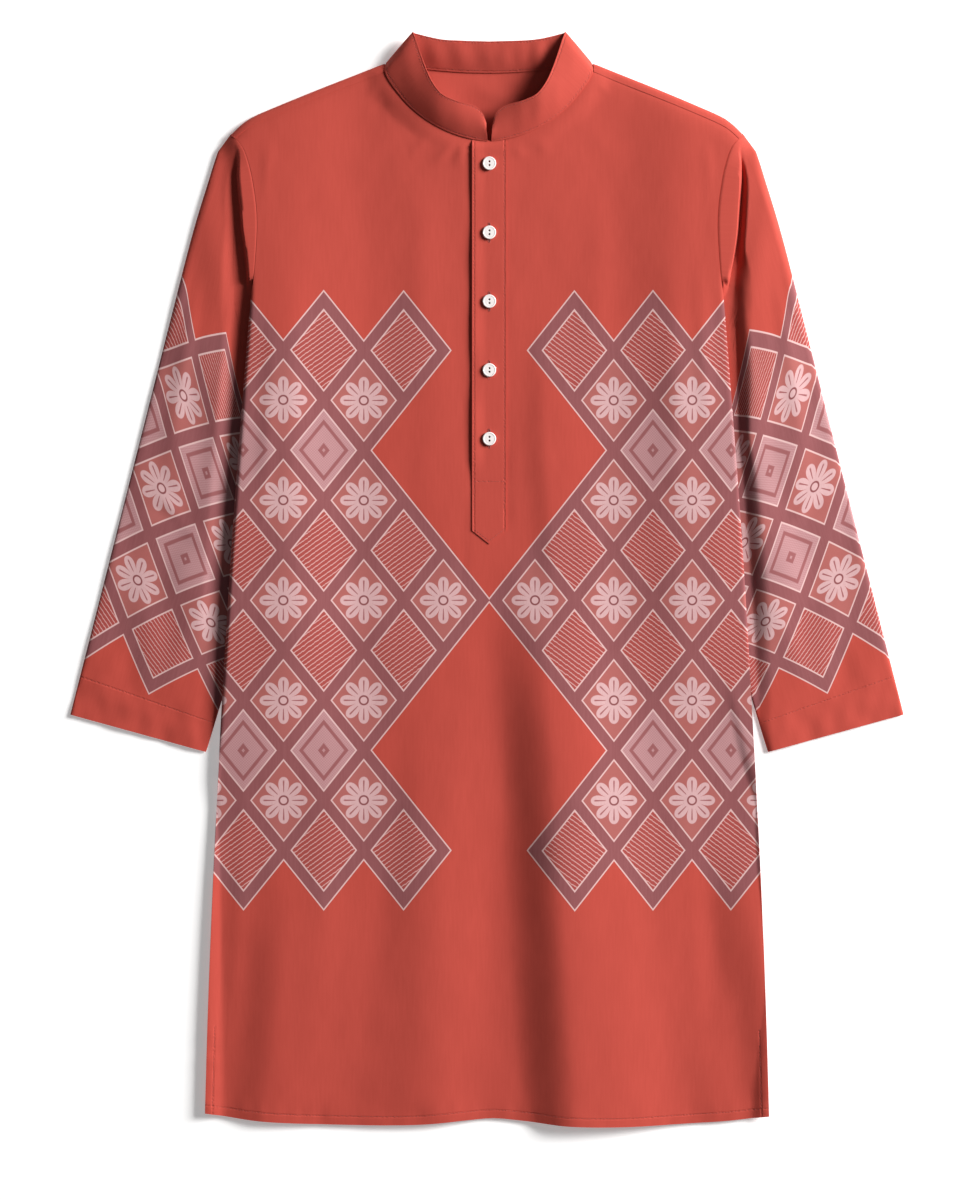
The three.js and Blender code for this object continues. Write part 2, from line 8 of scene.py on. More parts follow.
import bpy
import numpy as np
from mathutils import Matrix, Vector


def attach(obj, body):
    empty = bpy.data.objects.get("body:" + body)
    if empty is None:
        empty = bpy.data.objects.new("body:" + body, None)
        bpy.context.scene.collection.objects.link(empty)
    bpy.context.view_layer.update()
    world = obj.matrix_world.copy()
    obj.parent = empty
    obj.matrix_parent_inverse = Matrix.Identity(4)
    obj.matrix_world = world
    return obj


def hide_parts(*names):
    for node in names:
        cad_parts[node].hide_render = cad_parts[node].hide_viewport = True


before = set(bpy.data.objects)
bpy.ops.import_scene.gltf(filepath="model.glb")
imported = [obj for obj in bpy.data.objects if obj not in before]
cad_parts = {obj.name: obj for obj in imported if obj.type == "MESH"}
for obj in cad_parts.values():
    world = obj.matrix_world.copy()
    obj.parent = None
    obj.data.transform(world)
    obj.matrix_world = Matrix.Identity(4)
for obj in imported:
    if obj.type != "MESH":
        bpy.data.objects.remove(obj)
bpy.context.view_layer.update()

MM = 0.001

# Walls, seams and the sizes of the parts
CLOTH = 1.2
COLLAR_WALL = 1.8
PLACKET_WALL = 0.8
HALF = 240
CENTRE_SHIFT = 2.2
SHOULDER_MIDDLE = 4.2
NECK = dict(centre=495, half=99, depth=75.5, power=8 / 7, back=485.6, corner_x=100.5, corner=1.44)
PLACKET = dict(half=16.5, slot=12, tip=34, shoulder=47, foot=50, rise=1.0, air=0.25)
BUTTONS = dict(first=399, pitch=66, count=5, radius=6.5)
SLEEVE = dict(top=426.1, inner_top=257, cuff_out=-130, cuff_in=-165.6, width=135, share=0.8, end=288,
              valley=2.2, edge=1.5, roll_out=4.5, roll_in=5, step=19, drop={-1: 3.6, 1: 1.6}, crown={-1: 2.4, 1: 6.8})
FORWARD_SEAM = 8
HEM_STITCH = 8
SIDE_STITCH = 7
CUFF_STITCH = 38
BOX_STITCH_Y = 94
SLIT_TOP = -428
BACK_HEM = -511
HEM_HALF = 271
BODY_LENGTH = 938
SLEEVE_LENGTH = 560
COLLAR_WIDTH = 38
COLLAR_HALF_LENGTH = 235
FAR = 1000.0

BODY_EDGE = dict(
    y=[-525, -404, -248, -96, 63, 205, 268, 300, 346, 383, 408, 419, 426.1],
    half=[271, 267.5, 261, 252.5, 242.5, 232, 227, 223.4, 221.3, 225.5, 232, 238, 246.2])
SHOULDER = dict(
    x=[99, 121, 162, 206.6, 227, 236.5, 246.2],
    fold=[495.5, 486.6, 470.4, 451.9, 442.6, 435.6, 426.1])
FRONT_HEM = dict(
    x=[-271, -212, -140, -74, -26, 5, 36, 78, 130, 182, 224, 271],
    y=[-512.5, -520.2, -523.6, -523.6, -519.6, -517.6, -520, -524, -525, -522.8, -520.2, -515.5])
LEVELS = dict(
    y=[-525, -250, -150, -60, 100, 268, 426, 500],
    middle=[3.1, 3.3, 3.5, 3.7, 4, 4.4, 5.5, 6],
    side=[3.3, 4.6, 7.4, 10, 10.4, 10.2, 9.4, 9])
SLEEVE_OUTER = dict(
    y=[-130, 172, 308, 346, 383, 405, 417, 426.1],
    x=[400, 323, 288, 277.4, 265.6, 258.4, 253.4, 246.2])
SLEEVE_INNER = dict(
    y=[-215, -165.6, -125, -29, 30, 120, 190, 230, 257, 280, 300, 332, 426],
    x=[288, 270.7, 258.2, 228.4, 210, 197, 198, 201, 206, 218, 240, 266, 320])
# By the viewer's left (-1) and right (1): the lit strip of sleeve head, then the floor of the crevice beside it
HEAD_STRIP = {
    -1: dict(y=[254, 278, 294, 308, 326, 340, 364, 386, 400, 414, 426],
             width=[0, 1.8, 4.2, 6.6, 10, 12.4, 13, 11.4, 7.5, 3, 0]),
    1: dict(y=[252, 278, 294, 310, 326, 340, 360, 384, 400, 414, 426],
            width=[0, 3.6, 8.2, 12.8, 16.6, 18.6, 19, 17, 13, 6, 0])}
CREVICE = {
    -1: dict(y=[-215, -120, 0, 96, 198, 230, 268, 300, 336, 364, 386, 398, 410],
             width=[12, 12, 10.5, 10, 9.5, 10, 11.5, 11, 6.7, 5.5, 3.6, 1.5, 0.4]),
    1: dict(y=[-215, -120, 0, 96, 134, 198, 230, 268, 300, 326, 358, 384, 398, 410],
            width=[7, 7.5, 8.5, 7.5, 6.5, 8, 9.5, 10, 7.2, 4.4, 3.8, 3, 1.5, 0.4])}
UNDERARM = dict(
    s=[0.8, 0.86, 0.9, 0.94, 0.97, 1], x=[225.4, 226.5, 224.5, 219.5, 212, 206],
    y=[288, 281, 274, 267, 262, 257], z=[8.9, 4.2, 3.2, 2.9, 2.6, 2.5])
HEAD_WAYS = dict(
    s=[0, 0.12, 0.3, 0.8, 0.88, 0.94, 1], x=[0.6, 0.9, 1, 1, 0.9, 0.45, -0.15],
    y=[-0.8, -0.44, -0.08, -0.12, -0.44, -0.89, -0.99])
COLLAR_CORNER = 0.65
COLLAR_BACK = 0.72
COLLAR = dict(
    s=[0, 0.05, 0.1, 0.2, 0.3, 0.4, 0.5, 0.58, 0.65, 0.7, 0.75, 0.85, 1],
    seam_z=[8.4, 8.5, 8.6, 9.2, 9.9, 10.5, 10.9, 10.5, 9, 5.2, 2, 1.7, 1.7],
    top_x=[3.4, 7, 14.5, 31, 45, 54, 60.5, 65.5, 70.2, 72.4, 70, 44, 0],
    top_y=[437, 447, 453.4, 457.6, 463.8, 475, 489, 503, 517.5, 523.9, 523.2, 517.6, 515.8],
    top_z=[12.6, 14.6, 16.6, 20, 22, 22, 20, 17.5, 15, 12.6, 11, 10.4, 10])

# Main folds of the front: a ridge line from top to low, its rise, its reach to each side, and its growth
FOLDS = [
    dict(top=(48, 60), low=(86, -525), rise=11.5, left=58, right=120, fade=240),
    dict(top=(-38, 40), low=(-60, -525), rise=3.6, left=95, right=58, fade=330),
    dict(top=(-178, -235), low=(-212, -525), rise=3.8, left=44, right=90, fade=150),
    dict(top=(236, -225), low=(290, -500), rise=3.6, left=46, right=60, fade=140)]

# Placed creases: x and y of both ends, rise (negative in a trough), width and bow; an eighth number is the
# width to the right of a line that runs down
FRONT_CREASES = [
    (-178, 330, -188, 60, 1.1, 15, 6), (-62, 410, -76, 170, 1.0, 20, -5), (-120, 300, -128, -120, -0.9, 24, 8),
    (108, 390, 112, 140, 1.0, 18, 4), (168, 350, 182, 40, 1.2, 15, -6), (206, 330, 214, 120, 0.9, 9, 3),
    (146, 260, 150, -160, -0.8, 22, -7), (52, 275, 72, -75, 3.0, 17, 4, 52), (-206, 280, -218, 40, 0.8, 8, -3),
    (-92, -60, -104, -430, -1.1, 22, -8), (-150, -120, -166, -500, 1.0, 20, 6), (168, -100, 176, -500, 1.1, 22, -6),
    (4, -230, 14, -515, -1.2, 17, 4), (214, -210, 226, -505, -1.0, 14, 5), (-236, -160, -250, -500, 0.9, 12, -4),
    (-102, 480, -116, 462, 0.5, 4, 1), (-94, 462, -112, 446, -0.4, 5, 1), (102, 480, 116, 462, 0.5, 4, -1),
    (-19, 426, -33, 394, 0.9, 3.6, 1), (-32, 426, -54, 396, 0.8, 4, -1), (-50, 432, -78, 402, 0.5, 5, 2),
    (22, 426, 33, 402, 0.7, 4, 1), (40, 430, 58, 404, 0.5, 5, -1), (-84, 440, -130, 380, 0.4, 12, 4),
    (88, 440, 128, 390, 0.4, 12, -4), (-206, 426, -216, 352, 0.7, 6, 3), (208, 424, 214, 350, 0.7, 6, -3)]
BACK_CREASES = [
    (-120, 380, -96, -60, 0.9, 22, 10), (60, 300, 84, -260, -0.8, 26, -8), (150, 120, 132, -420, 0.9, 20, 6),
    (-40, 60, -58, -480, 0.8, 24, -6), (-20, 478, 46, 452, 0.7, 7, 3), (-62, 470, -24, 440, 0.6, 8, -3)]
# On a sleeve: millimetres across from the outer fold, and up from the cuff
SLEEVE_CREASES = [
    (20, 470, 34, 250, 1.0, 9, 4), (58, 380, 48, 120, -0.8, 12, -5), (80, 520, 66, 330, 0.9, 9, 4),
    (14, 250, 92, 222, 0.7, 8, 6), (10, 210, 70, 232, -0.6, 7, -5), (96, 200, 84, 40, 0.8, 11, 3),
    (36, 110, 30, 30, 0.7, 10, 2)]


def linear(code):
    """An sRGB hex colour as linear red, green, blue and alpha."""
    values = np.array([int(code[k:k + 2], 16) / 255 for k in (1, 3, 5)])
    values = np.where(values <= 0.04045, values / 12.92, ((values + 0.055) / 1.055) ** 2.4)
    return (*values, 1.0)


def mix(a, b, f):
    return a + (b - a) * f


def ease(f):
    """Smoothstep: 0 below 0, 1 above 1, with no slope at either end."""
    f = np.clip(f, 0, 1)
    return f * f * (3 - 2 * f)


def roll(f):
    """A quarter ellipse: 0 at the edge, 1 from one roll width inwards."""
    return np.sqrt(1 - (1 - np.clip(f, 0, 1)) ** 2)


def through(table, key, value, at):
    """A smooth curve through a table: cubic pieces whose end slopes come from the neighbouring rows."""
    xs = np.asarray(table[key], float)
    vs = np.asarray(table[value], float)
    slopes = (np.r_[vs[1:], vs[-1]] - np.r_[vs[0], vs[:-1]]) / (np.r_[xs[1:], xs[-1]] - np.r_[xs[0], xs[:-1]])
    at = np.clip(at, xs[0], xs[-1])
    k = np.clip(np.searchsorted(xs, at, side="left") - 1, 0, len(xs) - 2)
    step = xs[k + 1] - xs[k]
    f = (at - xs[k]) / step
    return ((2 * f**3 - 3 * f**2 + 1) * vs[k] + (f**3 - 2 * f**2 + f) * step * slopes[k]
            + (3 * f**2 - 2 * f**3) * vs[k + 1] + (f**3 - f**2) * step * slopes[k + 1])


def ripples(x, y, wavelength, seed, count=9):
    """Even noise of about one unit: a sum of plane sine waves in seeded directions and lengths."""
    rng = np.random.default_rng(seed)
    total = 0
    for _ in range(count):
        angle = rng.uniform(0, np.pi)
        pace = 2 * np.pi / (wavelength * rng.uniform(0.7, 1.6))
        total = total + np.sin((x * np.cos(angle) + y * np.sin(angle)) * pace + rng.uniform(0, 2 * np.pi))
    return total / np.sqrt(count / 2)


def creases(x, y, table):
    """Sum of placed creases. Each is a bell across its bowed line, fading to nothing at both ends."""
    total = 0
    for ax, ay, bx, by, rise, width, bow, *right in table:
        length = np.hypot(bx - ax, by - ay)
        along = ((x - ax) * (bx - ax) + (y - ay) * (by - ay)) / length**2
        across = ((x - ax) * (by - ay) - (y - ay) * (bx - ax)) / length
        arch = np.sin(np.pi * np.clip(along, 0, 1))
        bowed = across - bow * arch
        reach = np.where(bowed > 0, width, right[0] if right else width)
        total = total + rise * arch ** 1.3 * np.exp(-(bowed / reach) ** 2)
    return total


def body_half(y):
    return through(BODY_EDGE, "y", "half", y)


def shoulder_fold(x):
    return through(SHOULDER, "x", "fold", np.abs(x))


def below_shoulder(x, y):
    return shoulder_fold(np.clip(np.abs(x), 99, 246.2)) - y


def sleeve_lift(x, y):
    """How far the back rises where it lies over a sleeve."""
    return 5 * ease((np.abs(x) - through(SLEEVE_INNER, "y", "x", y) + 40) / 22)


def back_height(x, y):
    """Middle of the back's wall: flat, over the sleeves at its sides, curling up at the shoulder."""
    return CLOTH / 2 + sleeve_lift(x, y) + (SHOULDER_MIDDLE - CLOTH / 2) * (1 - roll(below_shoulder(x, y) / 9))


def fold_height(x, y):
    """Sum of the main folds: each is a cosine hump across its ridge line, growing towards the hem."""
    total = 0
    for fold in FOLDS:
        (tx, ty), (lx, ly) = fold["top"], fold["low"]
        away = x - mix(tx, lx, (ty - y) / (ty - ly))
        width = np.where(away < 0, fold["left"], fold["right"])
        hump = np.where(np.abs(away) < width, 0.5 + 0.5 * np.cos(np.pi * away / width), 0)
        total = total + fold["rise"] * ease((ty - y) / fold["fade"]) * hump
    return total


def front_base(x, y):
    """Middle of the front's wall without its fine creases, as the solid has it."""
    half = np.abs(x)
    near_neck = np.maximum(0, np.hypot(x, y - NECK["centre"]) - NECK["depth"] - 8)
    uneven = np.where(x < 0, 1.2, -1.7) * ease((half - 130) / 90) * ease((300 - y) / 60) * ease((y + 260) / 120)
    body = (mix(through(LEVELS, "y", "middle", y), through(LEVELS, "y", "side", y), ease((half - 110) / 90))
            + fold_height(x, y) + uneven + 2.6 * np.exp(-near_neck / 30))
    on_back = CLOTH / 2 + sleeve_lift(x, y) + CLOTH + 0.8
    inwards = roll((body_half(y) - half) / 3.6)
    cloth = np.maximum(mix(on_back, body, mix(1, inwards, ease((300 - y) / 40))), on_back)
    return mix(SHOULDER_MIDDLE, cloth, roll(below_shoulder(x, y) / 26))


def hem_line(x):
    return through(FRONT_HEM, "x", "y", x)


def front_fine(x, y):
    """Fine creases of the front: the placed ones, a slight unevenness, and puckers along hem and slits."""
    inner = ease((body_half(y) - np.abs(x)) / 26) * ease(below_shoulder(x, y) / 22)
    clear = ease((np.abs(x) - 16) / 9)
    below = ease((20 - y) / 30)
    from_hem = y - hem_line(x)
    pucker = 0.1 * ripples(x, 0.3 * y, 13, 5) + 0.3 * ripples(x, 0 * y, 52, 9)
    pucker = pucker * np.exp(-((from_hem - 4) / 14) ** 2)
    from_side = body_half(y) - np.abs(x)
    pucker = pucker + 0.16 * ripples(0.3 * x, y, 15, 7) * np.exp(-((from_side - 4) / 7) ** 2) * ease((-420 - y) / 25)
    soft = (0.22 * ripples(x * 1.5, y * 0.6, 110, 3) + 0.05 * ripples(x * 1.3, y, 36, 4)
            + 0.02 * ripples(x, y * 1.2, 14, 6))
    return (creases(x, y, FRONT_CREASES) + soft) * inner * np.maximum(clear, below) + pucker


def front_height(x, y):
    floor = CLOTH / 2 + sleeve_lift(x, y) + CLOTH + 0.3
    return np.maximum(front_base(x, y) + front_fine(x, y), floor)


def settle(x, y, z):
    """Eases the middle a little to the viewer's right, as it lies, and stacks the coordinates."""
    share = np.maximum(0, 1 - (x / body_half(0.0)) ** 2)
    return np.stack(np.broadcast_arrays(x + CENTRE_SHIFT * share, y, z), -1)


def neckline(angle, inset=0):
    """The front's neckline by the angle from the centre front: a squared-off ellipse with a flared corner."""
    flare = 2.9 * ease((angle - np.pi / 3) / 0.38)
    return ((NECK["half"] - inset) * np.sin(angle) ** NECK["power"] + flare,
            NECK["centre"] - (NECK["depth"] - inset) * np.cos(angle) ** NECK["power"])


def seam_height(angle):
    """Height of the collar's seam by the neckline's angle."""
    return through(COLLAR, "s", "seam_z", COLLAR_CORNER * (angle - 0.03) / (NECK["corner"] - 0.03))


def meet_collar(x, y, z):
    """Brings the cloth next to the neckline up or down to just under the collar's seam, over 20 mm.

    Distance from the neckline comes from its own squared-off ellipse, as does the angle along it.
    """
    across = (np.abs(x) / NECK["half"]) ** (1 / NECK["power"])
    down = (np.maximum(NECK["centre"] - y, 0) / NECK["depth"]) ** (1 / NECK["power"])
    outside = (np.hypot(across, down) ** NECK["power"] - 1) * 85
    return mix(z, seam_height(np.arctan2(across, down)) - 0.8, ease(1 - outside / 20))


def body_columns(count):
    """Shares of the half width: even between the slot and the side, close together in the side roll."""
    inner = np.linspace(PLACKET["slot"], HALF - 12, count)
    half = np.r_[inner, HALF - np.array([10, 8, 6, 4.4, 3, 1.9, 1, 0.4, 0])] / HALF
    return np.r_[-half[::-1], -4 / HALF, 4 / HALF, half]


NECK_SHARE = 109.6 / HALF
SLOT_SHARE = PLACKET["slot"] / HALF
SLOT_ROW = (PLACKET["foot"] + 518) / (NECK["centre"] - NECK["depth"] + 518)


def front_top(u):
    """Top edge of the front: the neckline as far as the neck's corner, then the forward shoulder seam."""
    share = np.abs(u)
    slot_angle = np.arcsin((PLACKET["slot"] / NECK["half"]) ** (1 / NECK["power"]))
    drop = NECK["centre"] - shoulder_fold(NECK["corner_x"]) + FORWARD_SEAM
    corner_angle = np.arccos((drop / NECK["depth"]) ** (1 / NECK["power"]))
    angle = np.where(share <= SLOT_SHARE, slot_angle * share / SLOT_SHARE,
                     mix(slot_angle, corner_angle, np.clip((share - SLOT_SHARE) / (NECK_SHARE - SLOT_SHARE), 0, 1)))
    neck_x, neck_y = neckline(angle)
    seam_x = mix(NECK["corner_x"], 241.5, np.clip((share - NECK_SHARE) / (1 - NECK_SHARE), 0, 1))
    x = np.where(share <= SLOT_SHARE, share * HALF, np.where(share < NECK_SHARE, neck_x, seam_x))
    return np.sign(u) * x, np.where(share < NECK_SHARE, neck_y, shoulder_fold(seam_x) - FORWARD_SEAM)


def back_top(u):
    """Top edge of the back: its shallow neckline, then the shoulder's outline."""
    share = np.abs(u)
    f = np.minimum(share / NECK_SHARE, 1)
    seam_x = mix(NECK["corner_x"], 246.2, np.clip((share - NECK_SHARE) / (1 - NECK_SHARE), 0, 1))
    x = np.where(share < NECK_SHARE, NECK["corner_x"] * f, seam_x)
    neck_y = mix(NECK["back"], shoulder_fold(NECK["corner_x"]), f * f)
    return np.sign(u) * x, np.where(share < NECK_SHARE, neck_y, shoulder_fold(seam_x))


def body_plan(u, v, hem, top):
    """Plan position on a body panel: columns follow the side edges and bend to meet the top edge."""
    top_x, top_y = top
    y = mix(hem, top_y, v)
    spread = np.sign(u) * ease((np.abs(u) - SLOT_SHARE) / (0.9 - SLOT_SHARE))
    across = HALF * u + (body_half(y) - HALF) * spread
    at_top = HALF * u + (body_half(top_y) - HALF) * spread
    return across + (top_x - at_top) * ease((v - 0.5) / 0.5), y


def front_point(u, v):
    x, y = body_plan(u, v, hem_line(u * HEM_HALF), front_top(u))
    return x, y, meet_collar(x, y, front_height(x, y)) - seam_dip(x, y)


def seam_dip(x, y):
    """The front dips a little where it meets the forward shoulder seam, whose other side lies over it."""
    return 0.2 * ease(1 - (below_shoulder(x, y) - FORWARD_SEAM) / 5)


def front_allowance(u, f):
    """Seam allowance past the front's top edge: into the collar at the neck, under the back at the shoulder."""
    x, y = front_top(u)
    at_neck = np.abs(u) < NECK_SHARE
    long = np.hypot(x, NECK["centre"] - y)
    z = meet_collar(x, y, front_height(x, y)) - seam_dip(x, y) - np.where(at_neck, 0, 1.2 * ease(f))
    return (x - np.where(at_neck, x / long, 0) * 2.1 * f,
            y + np.where(at_neck, (NECK["centre"] - y) / long * 2.1, 2.4) * f, z)


def back_point(u, v):
    x, y = body_plan(u, v, BACK_HEM - 3 * (1 - u * u), back_top(u))
    curled = np.where(np.abs(u) < NECK_SHARE, ease((np.abs(u) / NECK_SHARE - 0.8) / 0.2), 1)
    flat = ease((below_shoulder(x, y) - FORWARD_SEAM) / 20) * ease((body_half(y) - np.abs(x)) / 30)
    seen = creases(x, y, BACK_CREASES) + 0.5 + 0.3 * ripples(x * 1.6, y * 0.7, 70, 51)
    fine = np.maximum(seen * flat, 0) * ease((y - 435) / 15)
    return x, y, mix(CLOTH / 2, back_height(x, y), curled) + fine


def sleeve_plan(s, reach):
    """Plan position across the flat sleeve, from its outer edge (0) to its inner edge (1)."""
    outer_y = mix(SLEEVE["top"] - SLEEVE["step"] * 0.8, SLEEVE["cuff_out"], reach)
    inner_y = mix(SLEEVE["inner_top"] - SLEEVE["step"], SLEEVE["cuff_in"], reach)
    x = mix(through(SLEEVE_OUTER, "y", "x", outer_y), through(SLEEVE_INNER, "y", "x", inner_y), s)
    return x, mix(outer_y, inner_y, s)


def armhole(s, top):
    """Start of a sleeve layer: along the armhole seam, then turning under the body at the underarm."""
    if top:
        y = mix(SLEEVE["top"], SLEEVE["end"], np.minimum(s / SLEEVE["share"], 1))
        x = body_half(y)
        seam = (x + 0.35, y, front_base(x - 0.1, y))
        turn = [through(UNDERARM, "s", key, s) for key in "xyz"]
        return [np.where(s >= SLEEVE["share"], b, a) for a, b in zip(seam, turn)]
    f = np.maximum(0, (s - SLEEVE["share"]) / (1 - SLEEVE["share"]))
    y = mix(SLEEVE["top"], 300, np.minimum(1, s / SLEEVE["share"]))
    z = mix(back_height(body_half(y) - 0.1, y), CLOTH / 2, ease((s - 0.62) / 0.13))
    return [mix(body_half(y) + 0.9, 206, f), mix(y, SLEEVE["inner_top"], f), z]


def sleeve_point(s, head, reach, top, side):
    """Middle of a sleeve's wall. head (0 to 3) crosses the strip of sleeve head, its drop and the rest of
    the first step; reach is the share of the rest of the way to the cuff. Heights: seam level on the
    strip, a valley beside the body, then the crown; both fold edges are rounded. The viewer's right sleeve
    (side 1) is pushed closer to the body and stands higher beside it."""
    sx, sy, sz = armhole(s, top)
    strip = through(HEAD_STRIP[side], "y", "width", sy) + 0.8
    step = SLEEVE["step"] + 3 * ease(s / 0.25)
    drop = SLEEVE["drop"][side]
    right = side > 0
    away = np.where(head <= 1, strip * head,
                    np.where(head <= 2, strip + drop * (head - 1), mix(strip + drop, step, head - 2)))
    ring_x = sx + through(HEAD_WAYS, "s", "x", s) * away
    ring_y = sy + through(HEAD_WAYS, "s", "y", s) * away
    from_x, from_y = sleeve_plan(s, 0)
    base_x, base_y = sleeve_plan(s, reach)
    fading = (1 - reach) ** 3
    x = base_x + (ring_x - from_x) * fading
    y = base_y + (ring_y - from_y) * fading

    lowered = np.maximum(ease(head / 6 + reach * 4), ease(2 * s))
    edge = mix(SHOULDER_MIDDLE, SLEEVE["edge"], lowered)
    inner = roll((1 - s) * SLEEVE["width"] / SLEEVE["roll_in"])
    if not top:
        rounded = np.minimum(roll(s * SLEEVE["width"] / SLEEVE["roll_in"]), inner)
        return x, y, mix(sz, mix(edge, CLOTH / 2, rounded), ease(away / 12))
    rounded = np.minimum(roll(s * SLEEVE["width"] / SLEEVE["roll_out"]), inner)
    from_body = x - body_half(y)
    width = through(HEAD_STRIP[side], "y", "width", y)
    floor = width + through(CREVICE[side], "y", "width", y)
    turned = np.where(reach > 0, 0, ease((s - SLEEVE["share"]) / 0.06))
    level = mix(SLEEVE["valley"], sz, ease((y - 274) / 14) * (1 - turned))
    ridge = (np.exp(-(np.maximum(from_body - floor - 10, 0) / 48) ** 2) * ease((425 - y) / 60)
             * mix(0.25, 1, ease((y + 130) / 150)))
    crown = 2.5 + SLEEVE["crown"][side] * ridge
    wide = ease((floor - width - 5) / 4) if right else 0
    steep = 3.5 + 0.5 * (floor - width) + 8 * wide if right else 6 + floor - width
    climb = (from_body - floor) / steep
    rounded_off = 1 - (1 - np.clip(climb, 0, 1)) ** 2
    rise = mix(SLEEVE["valley"], crown, mix(ease(climb), rounded_off, wide))
    valley = mix(level, rise, ease((from_body - width) / (drop + 0.4)))
    smooth = mix(sz, crown + 1, ease(from_body / 26))
    field = mix(smooth, valley, ease((418 - y) / 30))
    field = mix(field, mix(sz, field, ease(away / 6)), turned)
    start = mix(edge, sz, np.where(s < SLEEVE["share"], rounded, inner))
    free = ease((from_body - width - 6) / 16)
    up = (1 - reach) * SLEEVE_LENGTH
    fine = (creases(s * SLEEVE["width"], up, SLEEVE_CREASES)
            + 0.25 * ripples(x * 1.8, y * 0.6, 70, 21) + 0.2 * ripples(x, y, 26, 23) * ease((60 - up) / 40))
    return x, y, mix(start, mix(edge, field, rounded) + fine * free * rounded, ease(head / 0.3))


def collar_seam(s):
    """Plan of the collar's seam edge: the front's neckline, round its corner, then the back's."""
    inset = COLLAR_WALL / 2 + 0.4
    front = neckline(mix(0.03, NECK["corner"], np.minimum(s / COLLAR_CORNER, 1)), inset)
    f = np.minimum((1 - s) / (1 - COLLAR_BACK), 1)
    back = ((NECK["corner_x"] - 2.6) * f, mix(NECK["back"], shoulder_fold(NECK["corner_x"]), f * f) + 1.6)
    turn = np.clip((s - COLLAR_CORNER) / (COLLAR_BACK - COLLAR_CORNER), 0, 1)
    return [mix(a, b, turn) for a, b in zip(front, back)]


def collar_point(s, rise):
    """Middle of the collar's wall: straight from seam to top edge, with a slight bulge and a few wrinkles."""
    x, y = collar_seam(s)
    at = {key: through(COLLAR, "s", key, s) for key in COLLAR if key != "s"}
    z = mix(at["seam_z"], at["top_z"], rise) + 1.6 * np.sin(np.pi * rise)
    return mix(x, at["top_x"], rise), mix(y, at["top_y"], rise), z


def placket_height(x, y):
    """Middle of the placket's wall: it lies on the front, its left edge standing free of the slot."""
    above_box = ease((y - BOX_STITCH_Y + 6) / 12)
    uneven = 1 + 0.25 * ripples(0 * x, y, 80, 33, 4)
    free = PLACKET["rise"] * uneven * ease((-x / PLACKET["half"] - 0.15) / 0.85) * ease((y - 95) / 25)
    on_front = front_base(x, y) + CLOTH / 2 + mix(0.05, PLACKET["air"], above_box) + PLACKET_WALL / 2
    return on_front + np.maximum(free, 0)


def placket_top(x, y):
    return placket_height(x, y) + PLACKET_WALL / 2


def placket_ends(across):
    """Foot (pointed) and top of the placket, by the share across."""
    foot = mix(PLACKET["tip"], PLACKET["shoulder"], np.abs(across))
    return foot, neckline(np.abs(across) * 0.2)[1] + 1.6


def placket_point(across, along):
    """Middle of the placket's wall, puckered at its top and lifted there to the collar's seam."""
    x = across * PLACKET["half"]
    foot, top = placket_ends(across)
    y = mix(foot, top, along)
    fine = 0.1 * ripples(x, y, 60, 31) * ease((y - 100) / 30)
    puckers = 0.3 * np.sin(y * 1.1 + x * 0.12) * ease((y - 404) / 8) * ease((top - y - 3) / 6)
    return x, y, mix(placket_height(x, y) + fine + puckers, 8.3, ease((y - top + 7) / 6))


def placed(name, data):
    """A new object in the scene."""
    thing = bpy.data.objects.new(name, data)
    bpy.context.scene.collection.objects.link(thing)
    return thing


def new_object(name, mesh, material):
    mesh.materials.append(material)
    return placed(name, mesh)


def unit(vectors):
    return vectors / np.maximum(np.linalg.norm(vectors, axis=-1, keepdims=True), 1e-9)


def circle(count):
    """Even angles once round."""
    return np.linspace(0, 2 * np.pi, count, endpoint=False)


